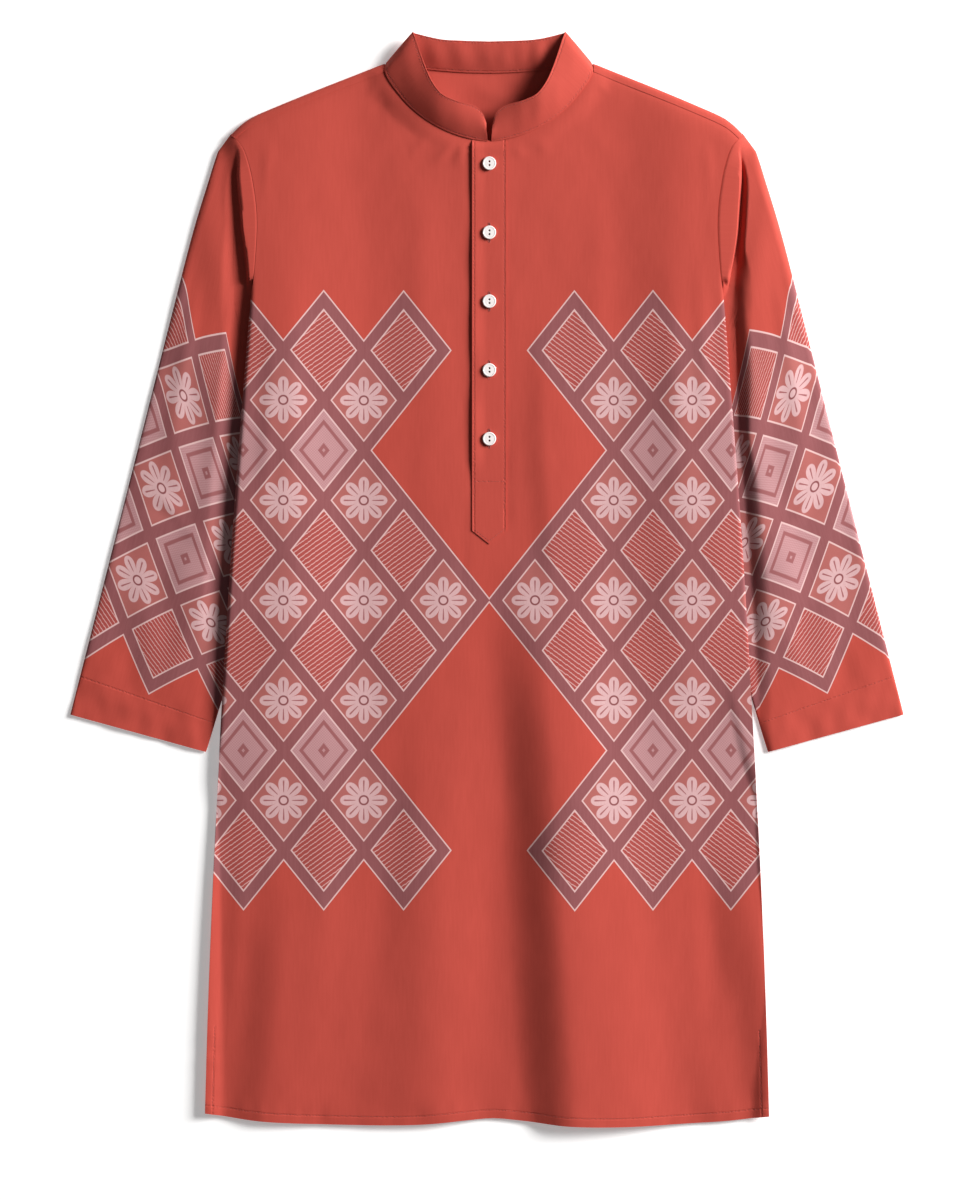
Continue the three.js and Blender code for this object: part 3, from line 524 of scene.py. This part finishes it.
def shell(name, points, wall, material, cut, sewn=(), keep=None, looped=False):
    """A grid of points (millimetres) thickened along its normals into a closed shell.

    cut gives x and y on the cut piece. keep says which cells are cloth. A looped grid's last column joins
    its first, and its cut has one column more. sewn gives up to three distances from stitch lines.
    """
    uv = np.stack(np.broadcast_arrays(*cut), -1)
    rows, columns = points.shape[:2]
    cells = columns if looped else columns - 1
    keep = np.ones((rows - 1, cells), bool) if keep is None else keep
    index = np.arange(rows * columns).reshape(rows, columns)
    right = np.roll(index, -1, 1)[:, :cells]
    left = index[:, :cells]
    quads = np.stack([left[:-1], right[:-1], right[1:], left[1:]], -1)
    flat = points.reshape(-1, 3)
    corner = flat[quads]
    facing = unit(np.cross(corner[..., 2, :] - corner[..., 0, :], corner[..., 3, :] - corner[..., 1, :]))
    normals = np.zeros_like(flat)
    for k in range(4):
        np.add.at(normals, quads[keep][:, k], facing[keep])
    normals = unit(normals)
    count = len(flat)
    vertices = np.concatenate([flat + normals * wall / 2, flat - normals * wall / 2]) * MM

    padded = np.pad(np.pad(keep, ((1, 1), (0, 0))), ((0, 0), (1, 1)), mode="wrap" if looped else "constant")
    missing = [~padded[:-2, 1:-1], ~padded[1:-1, 2:], ~padded[2:, 1:-1], ~padded[1:-1, :-2]]
    uv_corner = np.stack([uv[:-1, :cells], uv[:-1, 1:cells + 1], uv[1:, 1:cells + 1], uv[1:, :cells]], 2)
    faces = [quads[keep], quads[keep][:, ::-1] + count]
    uvs = [uv_corner[keep], uv_corner[keep][:, ::-1]]
    for k, gone in enumerate(missing):
        chosen = keep & gone
        a, b = quads[chosen][:, k], quads[chosen][:, (k + 1) % 4]
        faces.append(np.stack([a, a + count, b + count, b], -1))
        near, far = uv_corner[chosen][:, k], uv_corner[chosen][:, (k + 1) % 4]
        uvs.append(np.stack([near, near, far, far], 1))
    faces = np.concatenate(faces)
    uvs = np.concatenate(uvs)

    used = np.unique(faces)
    renumber = np.zeros(2 * count, int)
    renumber[used] = np.arange(len(used))
    mesh = mesh_of(name, vertices[used], renumber[faces])
    layer = mesh.uv_layers.new(name="cut")
    layer.data.foreach_set("uv", (uvs * MM).astype(np.float32).ravel())
    if sewn:
        distances = np.full((rows, columns, 3), FAR)
        for k, distance in enumerate(sewn):
            distances[..., k] = distance
        near = mesh.attributes.new("sewn", "FLOAT_VECTOR", "POINT")
        both = np.concatenate([distances.reshape(-1, 3)] * 2)[used]
        near.data.foreach_set("vector", both.astype(np.float32).ravel())
    return new_object(name, mesh, material)


def mesh_of(name, vertices, faces, sharp=50):
    """A smooth-shaded mesh from numpy arrays of vertices and quads, sharp where it turns by more than this."""
    mesh = bpy.data.meshes.new(name)
    mesh.from_pydata(vertices, [], faces)
    mesh.polygons.foreach_set("use_smooth", np.ones(len(mesh.polygons), bool))
    mesh.set_sharp_from_angle(angle=np.radians(sharp))
    return mesh


def dress(piece, slot, *nodes):
    """A piece rides on the garment and stands for CAD nodes if it names any; slot is not used."""
    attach(piece, "root")
    if nodes:
        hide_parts(*nodes)
    return piece


def grid(columns, rows):
    return np.meshgrid(np.asarray(columns, float), np.asarray(rows, float))


def stitches(name, lines, material, length=2.4, thick=0.42, pitch=3.1, turned=False):
    """Small stitches along lines of points: each is a six-sided bead, its ends sunk into the cloth.

    A stitch lies along its line, or across it where turned is true, as in a buttonhole.
    """
    around, up = circle(6)[:, None], np.array([0.0, 0.0, 1.0])
    # Along the bead: place, swell and depth, as shares of its length, thickness and thickness
    stations = ((-0.5, 0.25, -0.5), (-0.32, 0.85, -0.1), (0, 1, 0.05), (0.32, 0.85, -0.1), (0.5, 0.25, -0.5))
    ring = np.arange(6)
    faces = [np.stack([k * 6 + ring, k * 6 + (ring + 1) % 6, (k + 1) * 6 + (ring + 1) % 6, (k + 1) * 6 + ring], -1)
             for k in range(4)]
    ends = np.array([[0, 3, 2, 1], [0, 5, 4, 3], [24, 25, 26, 27], [24, 27, 28, 29]])
    template = np.concatenate(faces + [ends])
    all_vertices, all_faces, start = [], [], 0
    for line in lines:
        run = np.r_[0, np.cumsum(np.linalg.norm(np.diff(line, axis=0), axis=1))]
        at = np.arange(pitch / 2, run[-1], pitch)
        places = (at, np.minimum(at + 0.5, run[-1]), np.maximum(at - 0.5, 0))
        middle, ahead, behind = (
            np.stack([np.interp(place, run, line[:, k]) for k in range(3)], -1) for place in places)
        along = unit(ahead - behind)
        side = unit(np.cross(up, along))
        along, side = (side, -along) if turned else (along, side)
        offset = side[:, None] * np.cos(around) + up * np.sin(around)
        beads = np.stack([(middle + along * place * length + up * sunk * thick)[:, None] + offset * swell * thick / 2
                          for place, swell, sunk in stations], 1)
        all_vertices.append(beads.reshape(-1, 3))
        all_faces.append((template + start + 30 * np.arange(len(at))[:, None, None]).reshape(-1, 4))
        start += len(at) * 30
    vertices = np.concatenate(all_vertices) * MM
    return new_object(name, mesh_of(name, vertices, np.concatenate(all_faces), 80), material)


def add(tree, kind, inputs=None, **settings):
    """Adds a shader node, sets its settings, and links or sets its inputs, given by name or number."""
    node = tree.nodes.new(kind)
    for key, value in settings.items():
        setattr(node, key, value)
    for key, value in (inputs or {}).items():
        value = getattr(value, "socket", value)
        if isinstance(value, bpy.types.NodeSocket):
            tree.links.new(value, node.inputs[key])
        else:
            node.inputs[key].default_value = value
    return node


def calc(tree, operation, *values):
    """The result of one math node."""
    node = add(tree, "ShaderNodeMath", dict(enumerate(values)), operation=operation)
    return Number(tree, node.outputs[0])


class Number:
    """A shader value that arithmetic signs work on; each adds one math node."""

    def __init__(self, tree, socket):
        self.tree, self.socket = tree, socket

    def to(self, operation, *others):
        return calc(self.tree, operation, self, *others)

    def __add__(self, other):
        return self.to("ADD", other)

    def __sub__(self, other):
        return self.to("SUBTRACT", other)

    def __rsub__(self, other):
        return calc(self.tree, "SUBTRACT", other, self)

    def __mul__(self, other):
        return self.to("MULTIPLY", other)

    def __truediv__(self, other):
        return self.to("DIVIDE", other)

    def __abs__(self):
        return self.to("ABSOLUTE")


def ramp(value, low, high, start=0.0, end=1.0, **settings):
    """start up to low, end from high, and even between them."""
    inputs = {0: value, 1: low, 2: high, 3: start, 4: end}
    return Number(value.tree, add(value.tree, "ShaderNodeMapRange", inputs, **settings).outputs[0])


def band(value, low, high, soft):
    """1 between low and high, with soft edges."""
    return ramp(value, low - soft, low + soft) * ramp(value, high - soft, high + soft, 1.0, 0.0)


def parts(tree, vector):
    """The x, y and z of a vector."""
    return [Number(tree, part) for part in add(tree, "ShaderNodeSeparateXYZ", {0: vector}).outputs]


def times(tree, vector, by):
    return add(tree, "ShaderNodeVectorMath", {0: vector, 1: by}, operation="MULTIPLY").outputs[0]


def noise(tree, vector, scale=1.0, detail=2.0):
    node = add(tree, "ShaderNodeTexNoise", {"Vector": vector, "Scale": scale, "Detail": detail})
    return Number(tree, node.outputs[0])


def blend(tree, share, *colours):
    """A colour between two, each a socket or an sRGB hex code."""
    a, b = (linear(colour) if isinstance(colour, str) else colour for colour in colours)
    return add(tree, "ShaderNodeMix", {0: share, 6: a, 7: b}, data_type="RGBA").outputs[2]


def new_material(name):
    material = bpy.data.materials.new(name)
    material.use_nodes = True
    material.node_tree.nodes.clear()
    return material, material.node_tree


def finish(tree, colour, bump=None, **values):
    """Ends a material in a Principled shader. bump is a height, its strength and its distance in metres."""
    inputs = {key.replace("_", " "): value for key, value in values.items()}
    if bump:
        sizes = dict(zip(("Height", "Strength", "Distance"), bump))
        inputs["Normal"] = add(tree, "ShaderNodeBump", sizes).outputs[0]
    shader = add(tree, "ShaderNodeBsdfPrincipled", {"Base Color": colour, **inputs})
    add(tree, "ShaderNodeOutputMaterial", {"Surface": shader.outputs[0]})


def cotton(name, print_centre=None, mirrored=False):
    """Plain-weave cotton, piece-dyed coral red, with faint slubs and, where asked, a block print."""
    material, tree = new_material(name)
    plain = times(tree, add(tree, "ShaderNodeUVMap", uv_map="cut").outputs[0], (1000, 1000, 1000))
    x, y, _ = parts(tree, plain)
    slub, weft, cloud, uneven = (
        noise(tree, times(tree, plain, by), detail=detail) for by, detail in (
            ((0.5, 0.04, 1), 3.0), ((0.04, 0.6, 1), 2.0), ((0.012, 0.007, 1), 4.0), ((0.42, 0.42, 1), 1.0)))
    tuck = ramp(uneven, 0.38, 0.62, 0.35, 1.5)

    colour = blend(tree, ramp(slub, 0.35, 0.65), "#b7463a", "#bb493d")
    colour = blend(tree, ramp(cloud, 0.3, 0.7, 0.0, 0.3), colour, "#b04136")
    if print_centre:
        colour = diamond_print(tree, x, y, colour, slub, print_centre, mirrored)

    # Weave: two crossed sets of threads at 0.42 mm, with the slubs standing a little proud
    warp, fill = ((axis * (2 * np.pi / 0.84)).to("SINE") for axis in (x, y))
    height = warp * fill * 0.05 + slub * 0.02 + weft * 0.045
    # Stitch lines sink in, unevenly
    sewn = add(tree, "ShaderNodeAttribute", attribute_name="sewn").outputs["Vector"]
    for distance in parts(tree, sewn):
        near = ramp(abs(distance), 0.0, 1.5, -0.5, 0.0, interpolation_type="SMOOTHSTEP")
        height = height + near * tuck
    finish(tree, colour, (height, 0.6, 0.0008), Roughness=0.82, Specular_IOR_Level=0.25, Sheen_Weight=0.16,
           Sheen_Roughness=0.45, Sheen_Tint=linear("#f0a898"))
    return material


def diamond_print(tree, x, y, ground, slub, centre, mirrored):
    """Colours of the trellis print at (x, y) millimetres on the cut piece.

    It is a trellis of diamonds in mauve bands with pale edges. A cell holds an eight-petal flower, a woven
    field, or slanting hatch lines. Two slanting coordinates a and b count the cells; their whole parts name
    a cell, the rest its inside. Rows are counted up and down from the middle row, and a row's number says
    how far in it reaches, so the cluster has a stepped edge.
    """
    width, height = 76.0, 96.0
    px = ((abs(x) if mirrored else x) - centre["x"]) / width
    py = (y - centre["y"]) / height
    a, b = px + py, px - py
    ia, ib = a.to("FLOOR"), b.to("FLOOR")
    fa, fb = a - ia - 0.5, b - ib - 0.5
    spacing = 1 / np.hypot(1 / width, 1 / height)
    to_a, to_b = ((0.5 - abs(inside)) * spacing for inside in (fa, fb))
    edge = to_a.to("MINIMUM", to_b)

    def printed(a_cell, b_cell):
        """1 where this cell is in the cluster; also its row number."""
        middle = (a_cell + b_cell + 1.0) * (width / 2)
        row = abs(a_cell - b_cell)
        inner = (3.0 - abs(row - 3.0)) * centre["step"] + (centre["inner"] - centre["x"])
        return middle.to("GREATER_THAN", inner) * row.to("LESS_THAN", centre["rows"] + 0.5), row

    # The cell itself; outside the cluster, the distance to the nearest printed cell beside or beyond a corner
    here, row = printed(ia, ib)
    next_a, next_b = ia + fa.to("SIGN"), ib + fb.to("SIGN")
    outside = 99.0
    for cells, distance in (((next_a, ib), to_a), ((ia, next_b), to_b),
                            ((next_a, next_b), to_a.to("MAXIMUM", to_b))):
        outside = (distance + (1.0 - printed(*cells)[0]) * 99.0).to("MINIMUM", outside)
    from_band = here * edge + (1.0 - here) * outside

    # Eight petals round the cell's middle, each with a vein, within a thin ring
    dx, dy = (fa + fb) * (width / 2), (fa - fb) * (height / 2)
    radius = (dx * dx + dy * dy).to("SQRT")
    turns = dy.to("ARCTAN2", dx) * 4.0
    petal = abs(turns.to("COSINE")).to("POWER", 0.4) * 16.5 + 6.0
    vein = band(abs(turns.to("SINE")), -1.0, 0.16, 0.05) * band(radius, 8.0, 19.0, 0.8)
    leaf = band(abs(dx) + abs(dy) * 0.55, -1.0, 2.6, 0.3) * band(radius, 24.5, 40.0, 0.5)
    pale, pink, mauve = "#d2acad", "#bb9092", "#82494c"
    petals = blend(tree, (slub * 7.0).to("FRACT") * 0.35, pale, pink)
    flower = blend(tree, ramp(petal - radius, -0.4, 0.4), "#a8605c", petals)
    flower = blend(tree, leaf, flower, pale)
    flower = blend(tree, vein, flower, "#95585a")
    flower = blend(tree, band(radius, 3.2, 4.9, 0.3), flower, mauve)
    flower = blend(tree, band(radius, -1.0, 3.2, 0.3), flower, pale)

    # Slanting hatch with uneven lines, and a woven field of fine crossed lines
    hatch = band(((dx + dy * 1.35 + slub * 3.0) / 6.4).to("FRACT"), 0.0, 0.24, 0.06)
    hatched = blend(tree, hatch, blend(tree, 0.45, ground, mauve), "#cf9f9c")
    crossed = (x * 2.4).to("SINE") * (y * 2.4).to("SINE")
    woven = blend(tree, ramp(crossed, -0.3, 0.5), "#b08083", pink)
    woven = blend(tree, band((edge - 6.0).to("PINGPONG", 7.0), 5.4, 9.0, 0.3), woven, "#935a5c")

    odd = row.to("FLOORED_MODULO", 2.0).to("GREATER_THAN", 0.5)
    in_woven_row = abs(row - centre["woven_row"]).to("LESS_THAN", 0.5)
    inside = blend(tree, odd, flower, blend(tree, in_woven_row, hatched, woven))
    field = blend(tree, here, ground, inside)
    band_colour = blend(tree, slub * 0.9, mauve, "#935b5e")
    colour = blend(tree, band(from_band, -1.0, 5.0, 0.25), field, band_colour)
    colour = blend(tree, band(from_band, 5.0, 6.3, 0.25), colour, "#d9b6b4")
    shown = here.to("MAXIMUM", band(from_band, -1.0, 6.3, 0.2))
    return blend(tree, shown * 0.95, ground, colour)


def clouded(name, scale, detail, colours, bump=None, **values):
    """A material of two colours mixed in soft clouds, which also make its bump where it has one."""
    material, tree = new_material(name)
    place = add(tree, "ShaderNodeTexCoord").outputs["Object"]
    cloud = noise(tree, place, scale, detail)
    finish(tree, blend(tree, cloud, *colours), (cloud, *bump) if bump else None, **values)
    return material


def thread_painted_shade_material():
    """Spun polyester sewing thread: a slight twist in its bump, a soft sheen, and a red darker than the cloth, partly
    the thread's own colour and partly painted shade of the sunk stitch lines.
    """
    material, tree = new_material("thread_coral_painted_shade")
    place = add(tree, "ShaderNodeTexCoord").outputs["Object"]
    twist = add(tree, "ShaderNodeTexWave", {"Vector": place, "Scale": 900.0, "Distortion": 2.0}).outputs[1]
    # These dark reds are partly painted shade: they stand for the shadow in the pits and grooves along the stitches.
    colour = blend(tree, noise(tree, place, 260.0), "#8e322a", "#a8443a")
    finish(tree, colour, (twist, 0.4, 0.0001), Roughness=0.6, Sheen_Weight=0.2)
    return material


body_cloth = cotton("cotton_printed_body", mirrored=True, print_centre=dict(
    x=234.0, y=-20.0, inner=34.0, step=38.0, rows=5, woven_row=3.0))
sleeve_cloth = cotton("cotton_printed_sleeve", print_centre=dict(
    x=67.5, y=246.0, inner=-900.0, step=0.0, rows=3, woven_row=1.0))
plain_cloth = cotton("cotton_plain")
thread = thread_painted_shade_material()
# Painted shade for the inside of a buttonhole, and white moulded polyester, faintly pearly and polished
slit = clouded("buttonhole_painted_shade", 1500.0, 2.0, ("#4a1512", "#6d251e"), Roughness=0.95)
polyester = clouded("button_polyester", 240.0, 3.0, ("#f6f1ef", "#e4dcda"), (0.12, 0.0002), Roughness=0.22,
                    Coat_Weight=0.3, Coat_Roughness=0.1)


def from_slit(x, y):
    """Distance from the stitch line beside a side slit; far away above the slits."""
    return np.where(y < SLIT_TOP, body_half(y) - np.abs(x) - SIDE_STITCH, FAR)


def front_panel():
    columns = body_columns(70)
    rows = np.r_[np.linspace(0, 12 / 940, 6), np.linspace(14 / 940, SLOT_ROW, 150)[:-1],
                 np.linspace(SLOT_ROW, 0.97, 98)[:-1], np.linspace(0.97, 1, 14)]
    u, v = grid(columns, rows)
    au, af = grid(columns, [0.3, 0.65, 1])
    x, y, z = (np.concatenate(both) for both in zip(front_point(u, v), front_allowance(au, af)))
    rows = np.r_[rows, 1.001, 1.002, 1.003]
    sewn = [y - hem_line(x) - HEM_STITCH, from_slit(x, y)]
    middle_u = (columns[:-1] + columns[1:]) / 2
    middle_v = (rows[:-1] + rows[1:]) / 2
    slot = (np.abs(middle_u)[None] < SLOT_SHARE) & (middle_v[:, None] > SLOT_ROW)
    piece = shell("front_cloth", settle(x, y, z), CLOTH, body_cloth, (x, y), sewn, keep=~slot)
    return dress(piece, "body_cloth", "front_panel")


def back_panel():
    columns = body_columns(52)
    rows = np.r_[np.linspace(0, 0.93, 150)[:-1], np.linspace(0.93, 1, 26)]
    u, v = grid(columns, rows)
    x, y, z = back_point(u, v)
    ou, of = grid(columns, [0.12, 0.3, 0.5, 0.75, 0.99])
    (ax, ay), (bx, by) = back_top(ou), front_top(ou)
    at_neck = np.abs(ou) < NECK_SHARE - 0.014
    ox = np.where(at_neck, ax, mix(ax, bx, of))
    oy = np.where(at_neck, ay + 3.2 * of, mix(ay, by, of))
    oz = np.where(at_neck, mix(back_point(ou, 0 * of + 1)[2], 1.15, of),
                  meet_collar(ox, oy, front_base(ox, oy)) + 0.2 * ease(2 * of))
    x, y, z = np.r_[x, ox], np.r_[y, oy], np.r_[z, oz]
    sewn = [y - BACK_HEM - HEM_STITCH, from_slit(x, y)]
    neck_columns = at_neck[0]
    split = (neck_columns[:-1] != neck_columns[1:])[None] & (np.arange(len(x) - 1)[:, None] >= len(rows) - 1)
    piece = shell("back_cloth", settle(x, y, z), CLOTH, body_cloth, (x, y), sewn, keep=~split)
    return dress(piece, "body_cloth", "back_panel")


def sleeve(side):
    """A sleeve as one looped tube: its upper layer, then its lower one back again."""
    head = np.r_[np.linspace(0, 1, 10)[:-1], np.linspace(1, 2, 5)[:-1], np.linspace(2, 3, 9), np.full(150, 3.0)]
    reach = np.r_[np.zeros(22), np.linspace(0, 1, 151)[1:]]
    head, reach = head[:, None], reach[:, None]
    shares = np.unique(np.r_[np.linspace(0, 1, 60), 0.004, 0.009, 0.991, 0.996])[None]
    layers = []
    for top in (True, False):
        layer = [np.broadcast_to(a, (len(head), shares.size)) for a in sleeve_point(shares, head, reach, top, side)]
        sewn_in = np.where(shares < SLEEVE["share"], 2.2, 0.3)
        first = [layer[0][:1] - through(HEAD_WAYS, "s", "x", shares) * sewn_in,
                 layer[1][:1] - through(HEAD_WAYS, "s", "y", shares) * sewn_in,
                 layer[2][:1] + np.where(shares < SLEEVE["share"], -1.4 if top else 0.9, 0)]
        layers.append([np.concatenate(both) for both in zip(first, layer)])
    (x, y, z), (lx, ly, lz) = layers
    head, reach = np.r_[[[0.0]], head], np.r_[[[0.0]], reach]
    join = [np.concatenate([a, b[:, -2:0:-1]], 1) for a, b in ((x, lx), (y, ly), (z, lz))]
    points = settle(side * join[0], join[1], join[2])
    across = np.r_[shares[0], 2 - shares[0][-2::-1]] * SLEEVE["width"]
    up = ((1 - reach) * SLEEVE_LENGTH + (3 - head) / 3 * SLEEVE["step"])[::-1]
    if side > 0:
        points, across = points[:, ::-1], across[::-1]
    name = "right" if side > 0 else "left"
    piece = shell(f"sleeve_{name}_cloth", points[::-1], CLOTH, sleeve_cloth, (across, up), [up - CUFF_STITCH],
                  looped=True)
    return dress(piece, "body_cloth", f"sleeve_{name}")


def collar():
    shares = np.linspace(0, 1, 120)
    rises = np.r_[0, 0.02, np.linspace(0.06, 0.94, 16), 0.98, 1]
    s, rise = grid(shares, rises)
    x, y, z = collar_point(s, rise)
    swell = mix(0.16, 0.45, ease((s - 0.7) / 0.12)) * np.sin(np.pi * rise) ** 0.7
    left = settle(-x, y, z + swell * ripples(x * 1.5, 0.5 * y, 34, 41))
    right = settle(x, y, z + swell * ripples(x * 1.4, 0.5 * y, 31, 43))[:, -2::-1]
    points = np.concatenate([left, right], 1)
    along = np.linspace(-1, 1, points.shape[1]) * COLLAR_HALF_LENGTH
    down = rises[::-1, None]
    sewn = [down * COLLAR_WIDTH - 2, (1 - down) * COLLAR_WIDTH - 2]
    piece = shell("collar_cloth", points[::-1], COLLAR_WALL, plain_cloth, (along, down * COLLAR_WIDTH), sewn)
    return dress(piece, "trim_cloth", "collar_band")


def placket():
    across = np.r_[-1, -0.97, np.linspace(-0.92, 0.92, 18), 0.97, 1]
    u, v = grid(np.sort(np.r_[across, 0]), np.r_[0, 0.004, np.linspace(0.01, 0.99, 110), 0.996, 1])
    x, y, z = placket_point(u, v)
    sewn = [PLACKET["half"] - np.abs(x) - 2, np.abs(y - BOX_STITCH_Y)]
    over = shell("placket_over_cloth", settle(x, y, z), PLACKET_WALL, plain_cloth, (x, y), sewn)
    dress(over, "trim_cloth", "placket_over")
    u, v = grid(np.linspace(-1, 1, 12), np.linspace(0, 1, 100))
    x = u * (PLACKET["slot"] - 0.5)
    y = mix(PLACKET["foot"] + 1.5, neckline(0)[1] - 2.6, v)
    under = shell("placket_under_cloth", settle(x, y, front_base(x, y)), CLOTH, plain_cloth, (x, y))
    dress(under, "trim_cloth", "placket_under")
    return over, under


def button_seat(y):
    """Height of the underside of a button: just clear of the highest placket cloth under it."""
    spots = np.array([-0.9, 0, 0.9]) * BUTTONS["radius"]
    return max(float(placket_top(a, y + b)) for a in spots for b in spots) + 0.3


def button(k, y):
    """A sew-through button: a disc with two round holes and soft edges, and a raised rim."""
    curve = bpy.data.curves.new(f"button_outline_{k}", "CURVE")
    curve.dimensions = "2D"
    curve.fill_mode = "BOTH"
    curve.extrude, curve.bevel_depth, curve.bevel_resolution = 0.5 * MM, 0.4 * MM, 4
    for radius, cy, count in ((BUTTONS["radius"] - 0.4, 0, 48), (1.35, 1.75, 16), (1.35, -1.75, 16)):
        angle = circle(count)
        spline = curve.splines.new("POLY")
        spline.points.add(count - 1)
        flat = np.stack([radius * np.cos(angle), cy + radius * np.sin(angle), 0 * angle, angle * 0 + 1 / MM], -1)
        spline.points.foreach_set("co", (flat * MM).ravel())
        spline.use_cyclic_u = True
    holder = placed("button_holder", curve)
    depsgraph = bpy.context.evaluated_depsgraph_get()
    disc = bpy.data.meshes.new_from_object(holder.evaluated_get(depsgraph))
    vertices = np.zeros(len(disc.vertices) * 3)
    disc.vertices.foreach_get("co", vertices)
    vertices = vertices.reshape(-1, 3) / MM
    faces = [list(p.vertices) for p in disc.polygons]
    bpy.data.objects.remove(holder)
    bpy.data.curves.remove(curve)
    around, tube = grid(circle(48), circle(10))
    out = 5.6 + 0.75 * np.cos(tube)
    rim = np.stack([out * np.cos(around), out * np.sin(around), 0.7 + 0.35 * np.sin(tube)], -1)
    index = np.arange(rim[..., 0].size).reshape(around.shape) + len(vertices)
    beside = np.roll(index, -1, 1)
    quads = np.stack([index, beside, np.roll(beside, -1, 0), np.roll(index, -1, 0)], -1)
    at = settle(0.0, y, button_seat(y) + 0.9)
    everything = (np.concatenate([vertices, rim.reshape(-1, 3)]) + at) * MM
    mesh = mesh_of(f"button_{k + 1}_moulded", everything, faces + quads.reshape(-1, 4).tolist(), 60)
    piece = new_object(f"button_{k + 1}_moulded", mesh, polyester)
    dress(piece, "buttons", f"button_{k + 1}")


def line_on(point, wall, first, second, mirrored=1):
    """Points along a surface, on top of its wall."""
    x, y, z = point(*np.broadcast_arrays(first, second))
    return settle(mirrored * x, y, z + wall / 2 + 0.06)


front_cloth = front_panel()
back_cloth = back_panel()
sleeve_cloths = {sign: sleeve(sign) for sign in (-1, 1)}
collar_cloth = collar()
placket_over_cloth, placket_under_cloth = placket()


def sewing(name, lines, slot="body_cloth", **sizes):
    return dress(stitches(name, lines, thread, **sizes), slot)


even = np.linspace(0, 1, 240)
hem_share = HEM_STITCH / BODY_LENGTH
cuff_share = 1 - CUFF_STITCH / SLEEVE_LENGTH
edges = [line_on(front_point, CLOTH, mix(-0.968, 0.968, even), hem_share)]
edges += [line_on(front_point, CLOTH, sign * (1 - SIDE_STITCH / HALF), mix(hem_share, 0.092, even))
          for sign in (-1, 1)]
front_sewing = sewing("front_topstitching", edges)
for sign, side_name in ((-1, "left"), (1, "right")):
    layers = [sleeve_point(mix(0.02, 0.98, even), 0 * even + 3, 0 * even + cuff_share, top, sign)
              for top in (True, False)]
    lines = [settle(sign * x, y, z + away) for (x, y, z), away in zip(layers, (CLOTH / 2, 0.35 - CLOTH / 2))]
    sewing(f"sleeve_{side_name}_hem_stitching", lines, length=2.2, pitch=3.6)
collar_sewing = sewing("collar_topstitching", [
    line_on(collar_point, COLLAR_WALL, mix(0.02, 0.98, even), at, sign)
    for sign in (-1, 1) for at in (0.06, 0.93)], "trim_cloth")
# The placket's sides, its level box stitching and its pointed foot
box_across = mix(-0.86, 0.86, even[::8])
box_foot, box_top = placket_ends(box_across)
placket_sewing = sewing("placket_topstitching", [
    line_on(placket_point, PLACKET_WALL, across, along) for across, along in (
        (-0.87, mix(0.06, 0.975, even)), (0.87, mix(0.06, 0.975, even)),
        (box_across, (BOX_STITCH_Y - box_foot) / (box_top - box_foot)),
        (mix(-0.87, 0.87, even[::4]), 0.008))], "trim_cloth")

holes, slits = [], []
for k in range(BUTTONS["count"]):
    y0 = BUTTONS["first"] - BUTTONS["pitch"] * k
    button(k, y0)
    turn = np.linspace(0, 2 * np.pi, 80)
    ring_x = 0.95 * np.cos(turn)
    ring_y = y0 + 8.4 * np.sign(np.sin(turn)) * np.minimum(np.abs(np.sin(turn)) * 3, 1) + 0.8 * np.sin(turn)
    holes.append(settle(ring_x, ring_y, placket_top(ring_x, ring_y) + 0.05))
    # A thin dark sheet on the placket over each buttonhole: painted shade for the inside of the slit.
    sx, sy = grid([-0.4, 0, 0.4], np.linspace(-8.6, 8.6, 20))
    at = settle(sx, sy + y0, placket_top(sx, sy + y0) + 0.1)
    slits.append(dress(shell(f"buttonhole_painted_shade_{k + 1}", at, 0.06, slit, (at[..., 0], at[..., 1])), "trim_cloth"))
buttonholes = sewing("buttonhole_stitching", holes, "trim_cloth", length=1.5, thick=0.4, pitch=0.5, turned=True)

# Floor, light and camera
paper = clouded("studio_paper", 3.0, 2.0, ("#f6f6f6", "#f9f9f9"), Roughness=0.95, Specular_IOR_Level=0.1,
                Emission_Color=(1, 1, 1, 1), Emission_Strength=0.3)
half_size, depth = 30.0, -0.0003
floor_points = np.array([[x * half_size, y * half_size, depth] for x, y in ((-1, -1), (1, -1), (1, 1), (-1, 1))])
floor = new_object("floor", mesh_of("floor", floor_points, np.array([[0, 1, 2, 3]])), paper)


def area_light(name, place, size, watts, tint):
    """A square light turned to the middle of the garment."""
    light = bpy.data.lights.new(name, "AREA")
    light.shape, light.size, light.energy, light.color = "SQUARE", size, watts, tint
    lamp = placed(name, light)
    lamp.location = place
    lamp.rotation_euler = Vector(-np.array(place)).to_track_quat("-Z", "Y").to_euler()


area_light("key_right", (5.0, 2.1, 2.6), 2.6, 870, (1.0, 0.985, 0.975))
area_light("fill_above", (-0.6, -0.4, 3.4), 2.4, 4, (1.0, 1.0, 1.0))
world = bpy.data.worlds.new("studio")
world.use_nodes = True
world.node_tree.nodes["Background"].inputs[0].default_value = (1, 1, 1, 1)
world.node_tree.nodes["Background"].inputs[1].default_value = 0.07
bpy.context.scene.world = world
bpy.context.scene.view_settings.view_transform = "Standard"

camera_data = bpy.data.cameras.new("camera")
camera_data.lens = 100
camera_data.sensor_width = 36
camera = placed("camera", camera_data)
camera.location = (-6.7 * MM, -19.7 * MM, 3.2 + 0.006)
bpy.context.scene.camera = camera
